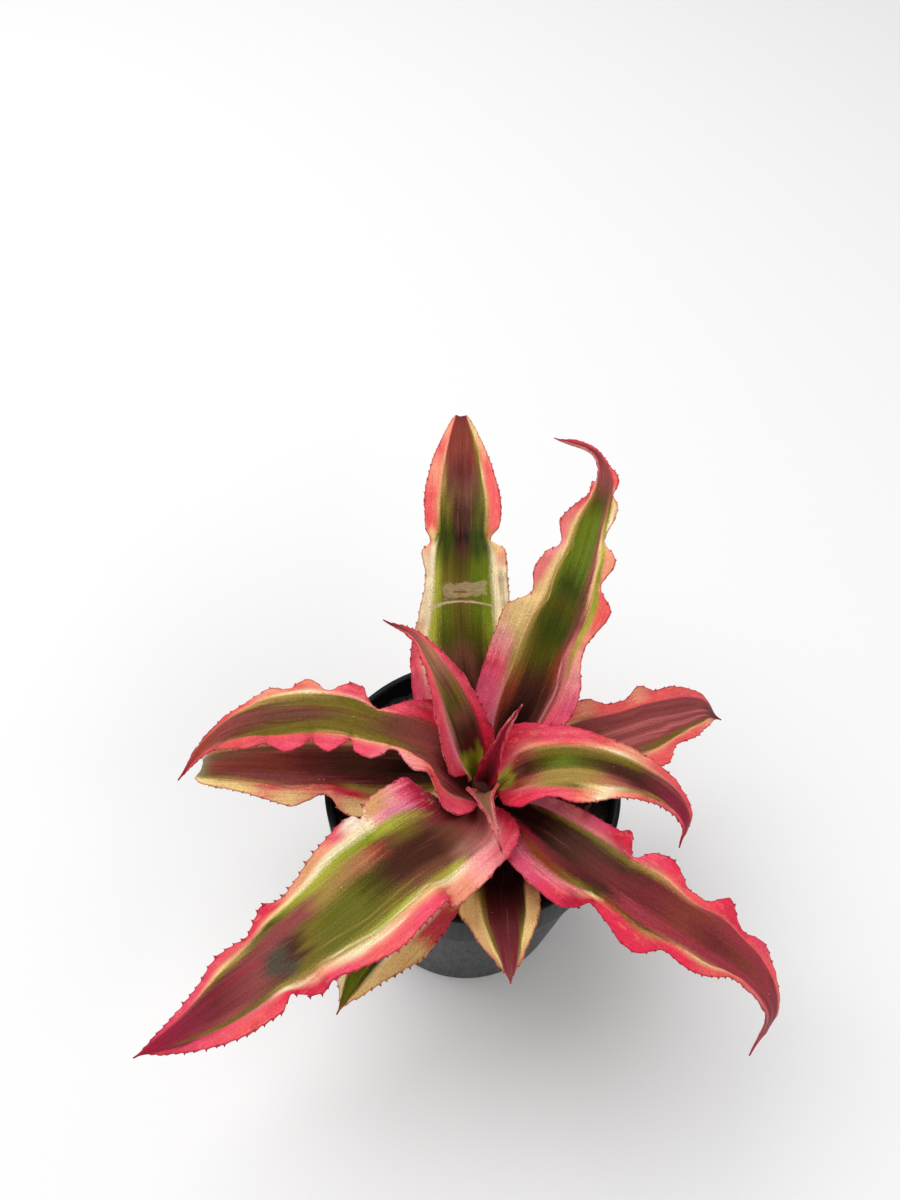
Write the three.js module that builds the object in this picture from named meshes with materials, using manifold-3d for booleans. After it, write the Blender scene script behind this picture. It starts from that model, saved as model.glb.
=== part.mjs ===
// A young rubin star cryptanthus, an earth star bromeliad, in its black nursery pot.
// Millimetres, +Z up, origin at the middle of the pot's underside. The plant is looked at
// from the -Y side, so its back leaf runs along +Y and its right leaves along +X.

import * as THREE from 'three';
import { mergeVertices } from 'three/addons/utils/BufferGeometryUtils.js';
import Module from 'manifold-3d';

const wasm = await Module();
wasm.setup();

// Driving dimensions of the pot, a round 7 cm nursery pot
const potHeight = 58;
const rimRadius = 35;
const baseRadius = 25;
const lipWidth = 1.6;
const baseThickness = 1.6;
const baseWall = 1.4;
const bandHeight = 12;
const bandTopSlope = 0.6;
const bandStep = 1.1;
const edgeRound = 0.5;
const drainRadius = 2.6;
const drainRing = 15;
const drainCount = 4;
const drainSides = 16;
const potSides = 64;

// Driving dimensions of the soil and of the short stem that stands in it
const soilTop = 53;
const soilGap = 0.4;
const soilLump = 0.7;
const soilShoulder = 1;
const soilSides = 40;
const soilRings = [0.22, 0.42, 0.6, 0.76, 0.9];
const stemFoot = [2.4, -2.5, 47];
const stemHead = [2.4, -6.1, 70];
const stemFootRadius = 3.4;
const stemHeadRadius = 2.5;
const stemSides = 16;
const holeClearance = 0.4;

// Driving dimensions that every leaf shares
const bladeThickness = 0.8;
const marginThickness = 0.6;
const spineSpacing = 2.3;
const spineHeight = 0.65;
const spineLean = 0.75;
const tipSpine = 1;
const slopeStep = 0.01;
const slopeReach = 0.1;
const rufflePlace = 0.35;
const rufflePower = 1.6;
const cupNarrowing = 0.18;
const acrossBlade = [-1, -0.72, -0.38, 0, 0.38, 0.72, 1];
const midribSteps = 120;

// The leaves, from the lowest on the stem to the crown. A midrib is a smooth curve from base
// to tip. Left and right are as seen looking out along the leaf, and each of their rows is a
// place along the leaf from 0 to 1, the margin's distance from the midrib, and how far it is
// ruffled up or down. Cup is the channel's depth as a share of the half width, and roll tips
// the left side down, in degrees; both are spread evenly from base to tip.
const leaves = [
  {
    name: 'leaf_front_low', heading: -83, color: 0x5a2a30,
    midrib: [[3, -7.5, 54.5], [6, -18.5, 57.5], [6.5, -28, 60], [7.5, -37, 61], [8.5, -42, 58.5],
      [9.5, -46, 53]],
    cup: [0.15, 0.15, 0.1, 0.1], roll: [0, 0],
    left: [[0, 3, 0], [0.12, 7, 0], [0.38, 9, 0.4], [0.6, 8.5, -0.3], [0.7, 7.2, 0.3], [0.84, 3.7, 0],
      [1, 0.6, 0]],
    right: [[0, 3, 0], [0.12, 6, 0], [0.38, 8.5, 0], [0.6, 9.6, -0.3], [0.73, 6.8, 0.3], [0.86, 3, 0],
      [1, 0.6, 0]],
  },
  {
    name: 'leaf_front_left_low', heading: -124, color: 0x8c8a35,
    midrib: [[0, -7.5, 58], [-1.5, -18, 62], [-6.5, -29, 65], [-14.5, -38, 65.5], [-21.5, -46, 62],
      [-27, -54.5, 55]],
    cup: [0.3, 0.25, 0.2, 0.1], roll: [0, 0],
    left: [[0, 2.4, 0], [0.1, 5.5, 0.3], [0.25, 6.5, 0.5], [0.42, 7, -0.2], [0.55, 8.7, 0.6],
      [0.64, 8, -0.4], [0.74, 5.8, 0.3], [0.87, 3, 0], [1, 0.6, 0]],
    right: [[0, 2.4, 0], [0.1, 6.5, 0], [0.3, 9, 0.5], [0.5, 8.6, -0.4], [0.7, 7.4, 0.4], [0.88, 4, 0],
      [1, 0.6, 0]],
  },
  {
    name: 'leaf_left_low', heading: 180, color: 0x5c3030,
    midrib: [[-1.5, -3.5, 57], [-8, 0, 61], [-17, -0.5, 63], [-28.5, -1.5, 64.5], [-40, -2.5, 65],
      [-52, -1.5, 63], [-61.5, 1, 58], [-66, 4.5, 51]],
    cup: [0.3, 0.2, 0.1], roll: [5, 20, 20, 10],
    left: [[0, 2.4, 0], [0.1, 7, 0], [0.24, 10.4, 0.5], [0.4, 7.8, -0.5], [0.48, 6, -0.8], [0.57, 9, 0.6],
      [0.66, 7.2, -0.5], [0.76, 5.6, 0.5], [0.84, 4.5, 0], [0.93, 2.4, 0], [1, 0.8, 0]],
    right: [[0, 3, 0], [0.1, 7, 0], [0.25, 9, 0.4], [0.42, 8, -0.6], [0.55, 9, 0.5], [0.7, 7.6, -0.4],
      [0.85, 5.6, 0], [0.95, 3.2, 0], [1, 0.8, 0]],
  },
  {
    name: 'leaf_right_low', heading: 20, color: 0x6a2a38,
    midrib: [[6, -3, 58.5], [13.5, 4.5, 61], [25, 9, 63.5], [37, 13.5, 65], [47.5, 18, 63],
      [56, 22.5, 59], [60.5, 23, 55]],
    cup: [0.3, 0.2, 0.1, 0], roll: [0, -15, -20, -10],
    left: [[0, 3, 0], [0.12, 7, 0], [0.3, 9, 0.4], [0.43, 9.2, 0.6], [0.51, 6.6, -0.8], [0.57, 6.2, -0.6],
      [0.63, 8.4, 0.8], [0.7, 6.9, -0.4], [0.77, 7, 0.3], [0.86, 6, 0], [0.93, 4.4, 0], [0.98, 1.6, 0],
      [1, 0.8, 0]],
    right: [[0, 3, 0], [0.12, 8, 0], [0.3, 10.5, 0.4], [0.52, 12, -0.4], [0.64, 11.4, 0.4],
      [0.73, 6.8, -0.6], [0.8, 6.4, 0.3], [0.87, 4.8, 0], [0.95, 3.2, 0], [1, 0.8, 0]],
  },
  {
    name: 'leaf_back', heading: 92, color: 0x6c7a2c,
    midrib: [[2, -1.2, 60], [-0.5, 13, 67], [-3.5, 25, 75], [-5, 38, 83], [-5, 51, 90], [-5.5, 67.5, 93],
      [-6.5, 87.5, 92]],
    cup: [0.4, 0.3, 0.25, 0.2, 0.1, 0.1], roll: [0, 0],
    left: [[0, 3, 0], [0.08, 8.5, 0], [0.23, 14, 0.5], [0.33, 13, -0.4], [0.4, 10.8, 0.4],
      [0.5, 8.6, -0.3], [0.555, 9.4, 0.4], [0.585, 7.8, -0.8], [0.615, 8.8, 0.4], [0.69, 9.6, 0],
      [0.8, 8, 0.2], [0.9, 5.2, 0], [0.98, 2.4, 0], [1, 1.4, 0]],
    right: [[0, 3, 0], [0.08, 8.5, 0], [0.25, 13, 0.5], [0.44, 12, -0.5], [0.56, 10.6, 0.5],
      [0.59, 6.8, -1], [0.62, 9.2, 0.4], [0.67, 9.6, 0], [0.78, 8, 0.2], [0.89, 5.4, 0], [0.98, 2.4, 0],
      [1, 1.4, 0]],
  },
  {
    name: 'leaf_front_right', heading: -45, color: 0x7a2a3c,
    midrib: [[5, -7, 61], [11.5, -14, 66.5], [19, -22, 70.5], [28, -30, 73], [38.5, -36.5, 72],
      [49.5, -41.5, 68], [60, -45, 60], [66, -49.5, 52], [62.5, -56, 45]],
    cup: [0.4, 0.25, 0.1, 0.1, 0.1], roll: [0, 0],
    left: [[0, 3, 0], [0.1, 7, 0], [0.23, 10.2, 0.4], [0.34, 11, 0.6], [0.395, 7.8, -0.8],
      [0.43, 10.6, 0.4], [0.48, 12, 0.8], [0.56, 9, -0.7], [0.64, 11.4, 0.8], [0.72, 7.4, -0.5],
      [0.77, 8.4, 0.5], [0.84, 6, 0], [0.91, 3.4, 0], [0.97, 2, 0], [1, 0.6, 0]],
    right: [[0, 3, 0], [0.1, 7, 0], [0.23, 12.6, 0.4], [0.31, 13, 0.5], [0.375, 7.2, -0.9],
      [0.47, 10.8, 0.8], [0.555, 6.8, -0.8], [0.61, 8, 0.6], [0.67, 5.8, 0], [0.73, 3.2, -0.3],
      [0.83, 3, 0], [0.91, 3.4, 0], [1, 0.6, 0]],
  },
  {
    name: 'leaf_back_right', heading: 74, color: 0x6f7f2a,
    midrib: [[3.6, -1.8, 63.5], [11.5, 11, 76], [15.5, 19.5, 85], [19.5, 28.5, 93], [23.5, 40, 99],
      [27, 55.5, 101], [26.5, 70, 98], [18, 81.5, 92]],
    cup: [0.5, 0.35, 0.3, 0.3, 0.3, 0.8], roll: [0, 0],
    left: [[0, 3, 0], [0.08, 8, 0], [0.2, 12.8, 0.4], [0.37, 13.2, 0.6], [0.425, 8.6, -1],
      [0.47, 9.8, 0.6], [0.51, 8.8, 0.3], [0.55, 5.8, -1], [0.6, 7.1, 0.8], [0.65, 5.6, 0.3],
      [0.7, 2.6, 0], [0.78, 1.2, 0], [0.9, 1.2, 0], [1, 0.5, 0]],
    right: [[0, 3, 0], [0.08, 8, 0], [0.24, 11.4, 0.4], [0.32, 9.8, -0.6], [0.42, 10.7, 0.8],
      [0.485, 6.2, -1], [0.53, 8, 0.8], [0.585, 3.6, -1], [0.66, 4.5, 0.6], [0.71, 3.2, -0.3],
      [0.75, 4, 0.3], [0.84, 1.8, 0], [0.93, 1.4, 0], [1, 0.5, 0]],
  },
  {
    name: 'leaf_front_left', heading: -138, color: 0x7c6a30,
    midrib: [[-0.5, -8, 65], [-2.5, -20, 74], [-13, -31, 79], [-23, -41, 80.5], [-34, -50.5, 79],
      [-45.5, -59, 76], [-56, -65, 71], [-65.5, -69, 65]],
    cup: [0.4, 0.2, 0.1, 0.05, 0.05], roll: [0, 0],
    left: [[0, 3, 0], [0.05, 8, 0.8], [0.11, 11.4, 0.8], [0.2, 12.4, 0.5], [0.245, 9.8, -0.8],
      [0.3, 12, 0.6], [0.38, 12.2, -0.3], [0.45, 13.2, 0.5], [0.54, 11, 0], [0.62, 8.4, 0.4],
      [0.665, 6.4, -0.9], [0.7, 8.6, 0.5], [0.77, 8.2, 0], [0.85, 6.2, 0.2], [0.93, 3.4, 0], [1, 0.6, 0]],
    right: [[0, 3, 0], [0.05, 5, 0], [0.13, 8.5, 0], [0.23, 15, 0.5], [0.34, 13.4, -0.6],
      [0.44, 14.6, 0.6], [0.49, 14.2, 0.4], [0.53, 11.8, -0.4], [0.61, 9.6, 0.4], [0.68, 7.8, -0.3],
      [0.74, 8, 0.3], [0.83, 4.8, 0], [0.91, 2.8, 0], [1, 0.6, 0]],
  },
  {
    name: 'leaf_left_high', heading: 168, color: 0x7a6234,
    midrib: [[-1, -4.8, 67.5], [-8, -2, 76], [-18.5, -0.5, 81], [-30.5, 1, 84.5], [-41.5, 1, 84],
      [-53, 0.5, 80], [-61, -1.5, 73], [-67.5, -5.5, 64]],
    cup: [0.5, 0.35, 0.05, -0.1, -0.1, 0], roll: [-5, 8, 22, 20, 10],
    left: [[0, 3, 0], [0.05, 8, 0.3], [0.1, 11, 0.6], [0.155, 7.4, 0], [0.2, 7.8, 0.5],
      [0.255, 4.6, -0.8], [0.31, 7.6, 0.6], [0.39, 8.4, -0.3], [0.46, 8.4, 0.6], [0.51, 6.4, -1],
      [0.57, 8.4, 0.7], [0.65, 6.4, -0.8], [0.71, 6.6, 0.5], [0.78, 4.6, 0], [0.85, 2.2, -0.2],
      [0.92, 1.4, 0], [1, 0.5, 0]],
    right: [[0, 3, 0], [0.08, 7.5, 0], [0.2, 9, 0.4], [0.34, 5, -0.8], [0.41, 6.8, 0.7],
      [0.475, 4.8, -0.6], [0.52, 7, 0.8], [0.585, 5.4, -0.5], [0.62, 5.8, 0.4], [0.7, 3.6, 0],
      [0.8, 2.2, 0], [0.9, 1.6, 0], [1, 0.5, 0]],
  },
  {
    name: 'leaf_right_high', heading: -8, color: 0x7c7a34,
    midrib: [[6.2, -6.4, 69], [12.5, -6, 77], [22, -6.5, 81.5], [32, -8.5, 81], [42, -10.5, 75],
      [47, -14, 70], [46.5, -17, 65]],
    cup: [0.5, 0.3, 0.1, 0, 0], roll: [-15, -25, -20, -10],
    left: [[0, 3, 0], [0.07, 8, 0], [0.16, 9.8, 0.3], [0.31, 7.8, -0.3], [0.46, 5.8, 0.3],
      [0.58, 5.4, -0.3], [0.7, 4.8, 0.2], [0.83, 3.6, 0], [0.93, 1.8, 0], [1, 0.5, 0]],
    right: [[0, 3, 0], [0.07, 8, 0], [0.15, 9.8, 0.3], [0.24, 8.2, -0.7], [0.38, 9.8, 0.4],
      [0.47, 8.4, -0.3], [0.58, 5.4, 0.3], [0.74, 3, 0], [0.85, 2, 0], [0.93, 1.2, 0], [1, 0.5, 0]],
  },
  {
    name: 'leaf_upper_left', heading: 115, color: 0x6e3a3a,
    midrib: [[0, -3.5, 71], [-2, -1, 80], [-5.5, 3.5, 87], [-10, 9, 92], [-15, 16.5, 93],
      [-21.5, 22.5, 90]],
    cup: [0.4, 0.8, 0.6, 0.4, 0.3], roll: [0, 0],
    left: [[0, 2.6, 0], [0.1, 7, 0], [0.22, 8.4, 0], [0.36, 7.2, 0.2], [0.48, 4.8, 0], [0.62, 3, 0],
      [0.8, 1.6, 0], [1, 0.5, 0]],
    right: [[0, 2.6, 0], [0.1, 5.4, 0], [0.25, 6.2, 0], [0.48, 5.4, 0.2], [0.66, 3.9, 0], [0.84, 1.8, 0],
      [1, 0.5, 0]],
  },
  {
    name: 'leaf_centre_front', heading: -75, color: 0x6a3434,
    midrib: [[3, -9.3, 70], [2, -14.8, 77.8], [3.5, -22, 82], [5.5, -29.5, 83]],
    cup: [0.5, 0.6, 0.5], roll: [0, 0],
    left: [[0, 2.4, 0], [0.3, 3.6, 0], [0.6, 2.3, 0], [1, 0.5, 0]],
    right: [[0, 2.4, 0], [0.3, 3.8, 0], [0.6, 2.3, 0], [1, 0.5, 0]],
  },
  {
    name: 'leaf_centre_back', heading: 60, color: 0xa8324e,
    midrib: [[2.6, -6.2, 70.5], [4, -6, 81], [6, -4.5, 90], [8.5, -3.5, 97]],
    cup: [0.5, 0.6, 0.9, 1], roll: [0, 0],
    left: [[0, 1.6, 0], [0.34, 3, 0], [0.6, 2, 0], [1, 0.5, 0]],
    right: [[0, 1.6, 0], [0.34, 3.4, 0], [0.6, 2.2, 0], [1, 0.5, 0]],
  },
];

// Value of one column of the rows at a place, on a smooth curve that never overshoots them
function through(rows, column, place) {
  const last = rows.length - 1;
  let k = 0;
  while (k < last - 1 && place > rows[k + 1][0]) k += 1;
  const slope = (n) => (rows[n + 1][column] - rows[n][column]) / (rows[n + 1][0] - rows[n][0]);
  const tangent = (n) => {
    if (n === 0) return slope(0);
    if (n === last) return slope(last - 1);
    const before = slope(n - 1);
    const after = slope(n);
    return before * after <= 0 ? 0 : (2 * before * after) / (before + after);
  };
  const step = rows[k + 1][0] - rows[k][0];
  const f = Math.min(Math.max((place - rows[k][0]) / step, 0), 1);
  return rows[k][column] * (2 * f ** 3 - 3 * f ** 2 + 1)
    + tangent(k) * step * (f ** 3 - 2 * f ** 2 + f)
    + rows[k + 1][column] * (3 * f ** 2 - 2 * f ** 3)
    + tangent(k + 1) * step * (f ** 3 - f ** 2);
}

const spread = (values) => values.map((value, n) => [n / (values.length - 1), value]);

// The midrib's points, and the blade's sideways direction at each, turning as little as it can
function layMidrib(leaf) {
  const places = leaf.midrib.map((point) => new THREE.Vector3(...point));
  const curve = new THREE.CatmullRomCurve3(places, false, 'catmullrom', 0.5);
  const points = curve.getSpacedPoints(midribSteps);
  const heading = THREE.MathUtils.degToRad(leaf.heading);
  let side = new THREE.Vector3(Math.sin(heading), -Math.cos(heading), 0);
  const frames = points.map((point, n) => {
    const ahead = points[Math.min(n + 1, midribSteps)];
    const behind = points[Math.max(n - 1, 0)];
    const along = ahead.clone().sub(behind).normalize();
    side = side.clone().addScaledVector(along, -side.dot(along)).normalize();
    return { point, along, side };
  });
  return { frames, length: curve.getLength() };
}

// A point in the middle of the blade: place runs from base to tip, across from -1 to 1
function bladePoint(leaf, frames, place, across) {
  const at = Math.min(Math.max(place, 0), 1) * midribSteps;
  const n = Math.min(Math.floor(at), midribSteps - 1);
  const blend = (key) => frames[n][key].clone().lerp(frames[n + 1][key], at - n);
  const along = blend('along').normalize();
  const roll = THREE.MathUtils.degToRad(through(spread(leaf.roll), 1, place));
  const side = blend('side').normalize().applyAxisAngle(along, -roll);
  const lift = side.clone().cross(along);
  const margin = across > 0 ? leaf.right : leaf.left;
  const half = through(margin, 1, place);
  const cup = through(spread(leaf.cup), 1, place);
  const reach = Math.abs(across);
  const out = across * half * (1 - cupNarrowing * Math.abs(cup) * reach ** 2);
  const ruffle = Math.max(0, (reach - rufflePlace) / (1 - rufflePlace)) ** rufflePower;
  const up = cup * half * reach ** 2 + through(margin, 2, place) * ruffle;
  return blend('point').addScaledVector(side, out).addScaledVector(lift, up);
}

// The blade's upward normal, from its slopes along and across
function bladeNormal(leaf, frames, place, across) {
  const ahead = bladePoint(leaf, frames, Math.min(place + slopeStep, 1), across);
  const behind = bladePoint(leaf, frames, Math.max(place - slopeStep, 0), across);
  const sideways = Math.sign(across) || 1;
  const inner = bladePoint(leaf, frames, place, across - sideways * slopeReach);
  const outer = bladePoint(leaf, frames, place, across);
  const acrossSlope = outer.sub(inner).multiplyScalar(sideways);
  return acrossSlope.cross(ahead.sub(behind)).normalize();
}

// A closed blade: a top and a bottom face split alike, with a spine on each stretch of margin
function buildBlade(leaf) {
  const { frames, length } = layMidrib(leaf);
  const rows = Math.round(length / spineSpacing);
  const last = acrossBlade.length - 1;
  const vertices = [];
  const faces = [];
  const keep = (point) => vertices.push(point) - 1;
  const top = [];
  const bottom = [];
  for (let i = 0; i <= rows; i += 1) {
    top.push([]);
    bottom.push([]);
    acrossBlade.forEach((across) => {
      const point = bladePoint(leaf, frames, i / rows, across);
      const normal = bladeNormal(leaf, frames, i / rows, across);
      const half = THREE.MathUtils.lerp(bladeThickness, marginThickness, Math.abs(across)) / 2;
      top[i].push(keep(point.clone().addScaledVector(normal, half)));
      bottom[i].push(keep(point.clone().addScaledVector(normal, -half)));
    });
  }
  for (let i = 0; i < rows; i += 1) {
    for (let j = 0; j < last; j += 1) {
      faces.push([top[i][j], top[i][j + 1], top[i + 1][j + 1]]);
      faces.push([top[i][j], top[i + 1][j + 1], top[i + 1][j]]);
      faces.push([bottom[i][j], bottom[i + 1][j + 1], bottom[i][j + 1]]);
      faces.push([bottom[i][j], bottom[i + 1][j], bottom[i + 1][j + 1]]);
    }
    const right = [bottom[i][last], bottom[i + 1][last], top[i + 1][last], top[i][last]];
    const left = [top[i][0], top[i + 1][0], bottom[i + 1][0], bottom[i][0]];
    const place = (i + spineLean) / rows;
    [[right, 1], [left, -1]].forEach(([rim, across]) => {
      const root = bladePoint(leaf, frames, place, across);
      const inside = bladePoint(leaf, frames, place, across * (1 - slopeReach));
      const outward = root.clone().sub(inside).normalize();
      const spine = keep(root.addScaledVector(outward, spineHeight));
      rim.forEach((corner, n) => faces.push([corner, rim[(n + 1) % rim.length], spine]));
    });
  }
  for (let j = 0; j < last; j += 1) {
    faces.push([bottom[0][j], bottom[0][j + 1], top[0][j + 1]]);
    faces.push([bottom[0][j], top[0][j + 1], top[0][j]]);
  }
  const end = frames[midribSteps];
  const tip = keep(end.point.clone().addScaledVector(end.along, tipSpine));
  const edge = [...top[rows], ...[...bottom[rows]].reverse()];
  edge.forEach((corner, n) => faces.push([corner, edge[(n + 1) % edge.length], tip]));
  const geometry = new THREE.BufferGeometry();
  const numbers = vertices.flatMap((vertex) => vertex.toArray());
  geometry.setAttribute('position', new THREE.Float32BufferAttribute(numbers, 3));
  geometry.setIndex(faces.flat());
  return geometry;
}

// Manifold solids, for the cuts in the pot and the soil
function toSolid(geometry) {
  const bare = geometry.clone();
  bare.deleteAttribute('normal');
  bare.deleteAttribute('uv');
  const merged = mergeVertices(bare, 1e-4);
  return new wasm.Manifold(new wasm.Mesh({
    numProp: 3,
    vertProperties: new Float32Array(merged.attributes.position.array),
    triVerts: new Uint32Array(merged.index.array),
  }));
}

function toGeometry(solid) {
  const mesh = solid.getMesh();
  const geometry = new THREE.BufferGeometry();
  const numbers = new Float32Array(mesh.vertProperties);
  geometry.setAttribute('position', new THREE.BufferAttribute(numbers, 3));
  geometry.setIndex(new THREE.BufferAttribute(new Uint32Array(mesh.triVerts), 1));
  return geometry;
}

// Turned round +Z: profile rows are radius and height, from the axis back to the axis
function turn(profile, sides) {
  const points = profile.map(([radius, height]) => new THREE.Vector2(radius, height));
  return new THREE.LatheGeometry(points, sides).rotateX(Math.PI / 2);
}

// The pot's inside radius at a height
function insideRadius(height) {
  const low = baseRadius - baseWall;
  const high = rimRadius - lipWidth;
  return THREE.MathUtils.mapLinear(height, baseThickness, potHeight, low, high);
}

function buildPot() {
  const bandFoot = potHeight - bandHeight;
  const bandFootRadius = rimRadius - bandTopSlope;
  const wallTopRadius = bandFootRadius - bandStep;
  const pot = toSolid(turn([
    [0, 0],
    [baseRadius - edgeRound, 0],
    [baseRadius, edgeRound],
    [wallTopRadius, bandFoot],
    [bandFootRadius, bandFoot + edgeRound],
    [rimRadius, potHeight - edgeRound],
    [rimRadius - edgeRound, potHeight],
    [insideRadius(potHeight) + edgeRound, potHeight],
    [insideRadius(potHeight - edgeRound), potHeight - edgeRound],
    [insideRadius(baseThickness), baseThickness],
    [0, baseThickness],
  ], potSides));
  let holed = pot;
  for (let n = 0; n < drainCount; n += 1) {
    const turned = ((n + 0.5) / drainCount) * 2 * Math.PI;
    const drain = new THREE.CylinderGeometry(drainRadius, drainRadius, 3 * baseThickness, drainSides);
    drain.rotateX(Math.PI / 2);
    drain.translate(drainRing * Math.cos(turned), drainRing * Math.sin(turned), baseThickness / 2);
    holed = holed.subtract(toSolid(drain));
  }
  return toGeometry(holed);
}

// A short tapered stalk from one point to another
function buildStalk(foot, head, footRadius, headRadius) {
  const from = new THREE.Vector3(...foot);
  const to = new THREE.Vector3(...head);
  const length = from.distanceTo(to);
  const stalk = turn([[0, 0], [footRadius, 0], [headRadius, length], [0, length]], stemSides);
  const upright = new THREE.Vector3(0, 0, 1);
  const leaning = to.clone().sub(from).normalize();
  stalk.applyQuaternion(new THREE.Quaternion().setFromUnitVectors(upright, leaning));
  return stalk.translate(from.x, from.y, from.z);
}

// Low lumps in the soil's surface, from a broad wave and a finer one
function lump(x, y) {
  const broad = Math.sin(0.43 * x + 1.3) * Math.cos(0.37 * y);
  const fine = Math.sin(0.81 * y + 0.62 * x);
  return soilLump * (broad + fine / 2);
}

function buildSoil() {
  const foot = baseThickness + soilGap;
  const shoulder = soilTop - soilShoulder;
  const topRadius = insideRadius(shoulder) - soilGap;
  const profile = [[0, foot], [insideRadius(foot) - soilGap, foot], [topRadius, shoulder]];
  [...soilRings].reverse().forEach((share) => profile.push([share * topRadius, soilTop]));
  profile.push([0, soilTop]);
  const soil = turn(profile, soilSides);
  const at = soil.attributes.position;
  for (let n = 0; n < at.count; n += 1) {
    if (at.getZ(n) === soilTop) at.setZ(n, soilTop + lump(at.getX(n), at.getY(n)));
  }
  const clear = (radius) => radius + holeClearance;
  const footBelow = [stemFoot[0], stemFoot[1], stemFoot[2] - holeClearance];
  const hole = buildStalk(footBelow, stemHead, clear(stemFootRadius), clear(stemHeadRadius));
  return toGeometry(toSolid(soil).subtract(toSolid(hole)));
}

const plant = new THREE.Group();

function place(name, geometry, color, roughness) {
  const material = new THREE.MeshStandardMaterial({ color, roughness, metalness: 0 });
  const mesh = new THREE.Mesh(geometry, material);
  mesh.name = name;
  plant.add(mesh);
}

place('pot', buildPot(), 0x1c1e22, 0.45);
place('soil', buildSoil(), 0x1d1712, 0.95);
place('stem', buildStalk(stemFoot, stemHead, stemFootRadius, stemHeadRadius), 0x6e5a3a, 0.8);
leaves.forEach((leaf) => place(leaf.name, buildBlade(leaf), leaf.color, 0.5));

export default plant;
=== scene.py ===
# A young rubin star cryptanthus in its black nursery pot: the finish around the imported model.
# Tables and shapes are in millimetres, +Z up, and are scaled to metres as meshes are made.

import math

import bpy
import numpy as np
from mathutils import Matrix, Vector, noise


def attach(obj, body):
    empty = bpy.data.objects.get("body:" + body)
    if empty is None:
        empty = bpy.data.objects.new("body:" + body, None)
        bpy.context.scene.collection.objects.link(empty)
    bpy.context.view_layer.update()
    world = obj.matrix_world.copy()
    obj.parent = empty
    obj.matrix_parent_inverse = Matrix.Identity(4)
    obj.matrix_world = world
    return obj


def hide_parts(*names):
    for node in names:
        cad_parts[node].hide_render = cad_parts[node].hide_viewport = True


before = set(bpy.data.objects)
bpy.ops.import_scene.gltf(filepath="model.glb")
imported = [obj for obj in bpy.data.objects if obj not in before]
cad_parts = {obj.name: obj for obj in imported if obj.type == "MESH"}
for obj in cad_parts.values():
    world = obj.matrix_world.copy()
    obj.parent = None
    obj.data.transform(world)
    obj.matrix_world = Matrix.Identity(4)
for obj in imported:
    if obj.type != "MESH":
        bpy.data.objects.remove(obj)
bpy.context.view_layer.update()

METRE = 0.001
SEED = 27

# The pot, the soil in it and the short stem, as in the frame
POT_HEIGHT = 58
RIM_RADIUS = 35
BASE_RADIUS = 25
LIP_WIDTH = 1.6
BASE_THICKNESS = 1.6
BASE_WALL = 1.4
BAND_HEIGHT = 12
BAND_TOP_SLOPE = 0.6
BAND_STEP = 1.1
DRAIN_RADIUS = 2.6
DRAIN_RING = 15
DRAIN_COUNT = 4
SOIL_TOP = 53
SOIL_LUMP = 0.7
STEM_FOOT = (2.4, -2.5, 47)
STEM_HEAD = (2.4, -6.1, 70)
STEM_FOOT_RADIUS = 3.4
STEM_HEAD_RADIUS = 2.5

# What every leaf shares
MIDRIB_STEPS = 960
RUFFLE_PLACE = 0.35
RUFFLE_POWER = 1.6
CUP_NARROWING = 0.18
ROW_STEP = 0.32
COLUMNS = 45
ROOT_REACH = 2.4
MID_THICKNESS = 0.9
MARGIN_THICKNESS = 0.34
RIM_ROUND = 0.14
SPINE_SPACING = 2
SPINE_HEIGHT = 1.05
SPINE_LEAN = 0.45
TIP_TAPER = 5
TIP_NEEDLE = 1.1
SCRAPE_LINE = 43.3
SCRAPE_PATCH = 46
WARMTH = (1.08, 0.96, 0.86, 1)
NOTCH_SPAN = 3.6

# Colours of the living leaf, as they show in soft daylight, with some that paint light and shade
COLOURS = {
    "cream": "f6efca", "straw": "efd498", "tan": "dcaa7c", "peach": "f2a68c", "coral": "ea6468",
    "pink": "ea5676", "hot": "e0385a", "ruby": "cc2848", "orchid": "e05a84", "blush": "f2a6ac",
    "rose": "d87e84", "dusk": "9c7066", "mauve": "904a4c", "brick": "9c4a38", "clay": "b0765a",
    "bark": "6e4636", "wine": "742e36", "plum": "8a2a44", "crimson": "a82040", "maroon": "521e20",
    # On the next line, the near-black is painted shade, for leaf bases deep in the rosette, under other leaves and in
    # a few pinched folds and hooked tips, and the grey after it is a painted sheen on one leaf.
    "rust": "843e24", "umber": "48281e", "soot": "220e0c", "slate": "504a40", "olive": "726824",
    "moss": "4e4e10", "deep": "36440c", "green": "607416", "fern": "849826", "lime": "b0b848",
    "khaki": "a08c48", "silver": "c9a79c", "ivory": "fcf6e6", "lilac": "de86a8", "garnet": "9a3c4a",
    # On the next line, the pale yellow honey is partly the margins' own cream and partly painted light, brighter than
    # that cream, for low leaves lying in the shade of those above.
    "cocoa": "662a2c", "taupe": "8a6650", "russet": "823e34", "meadow": "666a1c", "honey": "fbe6a0",
    "salmon": "f48a8c",
}

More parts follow.
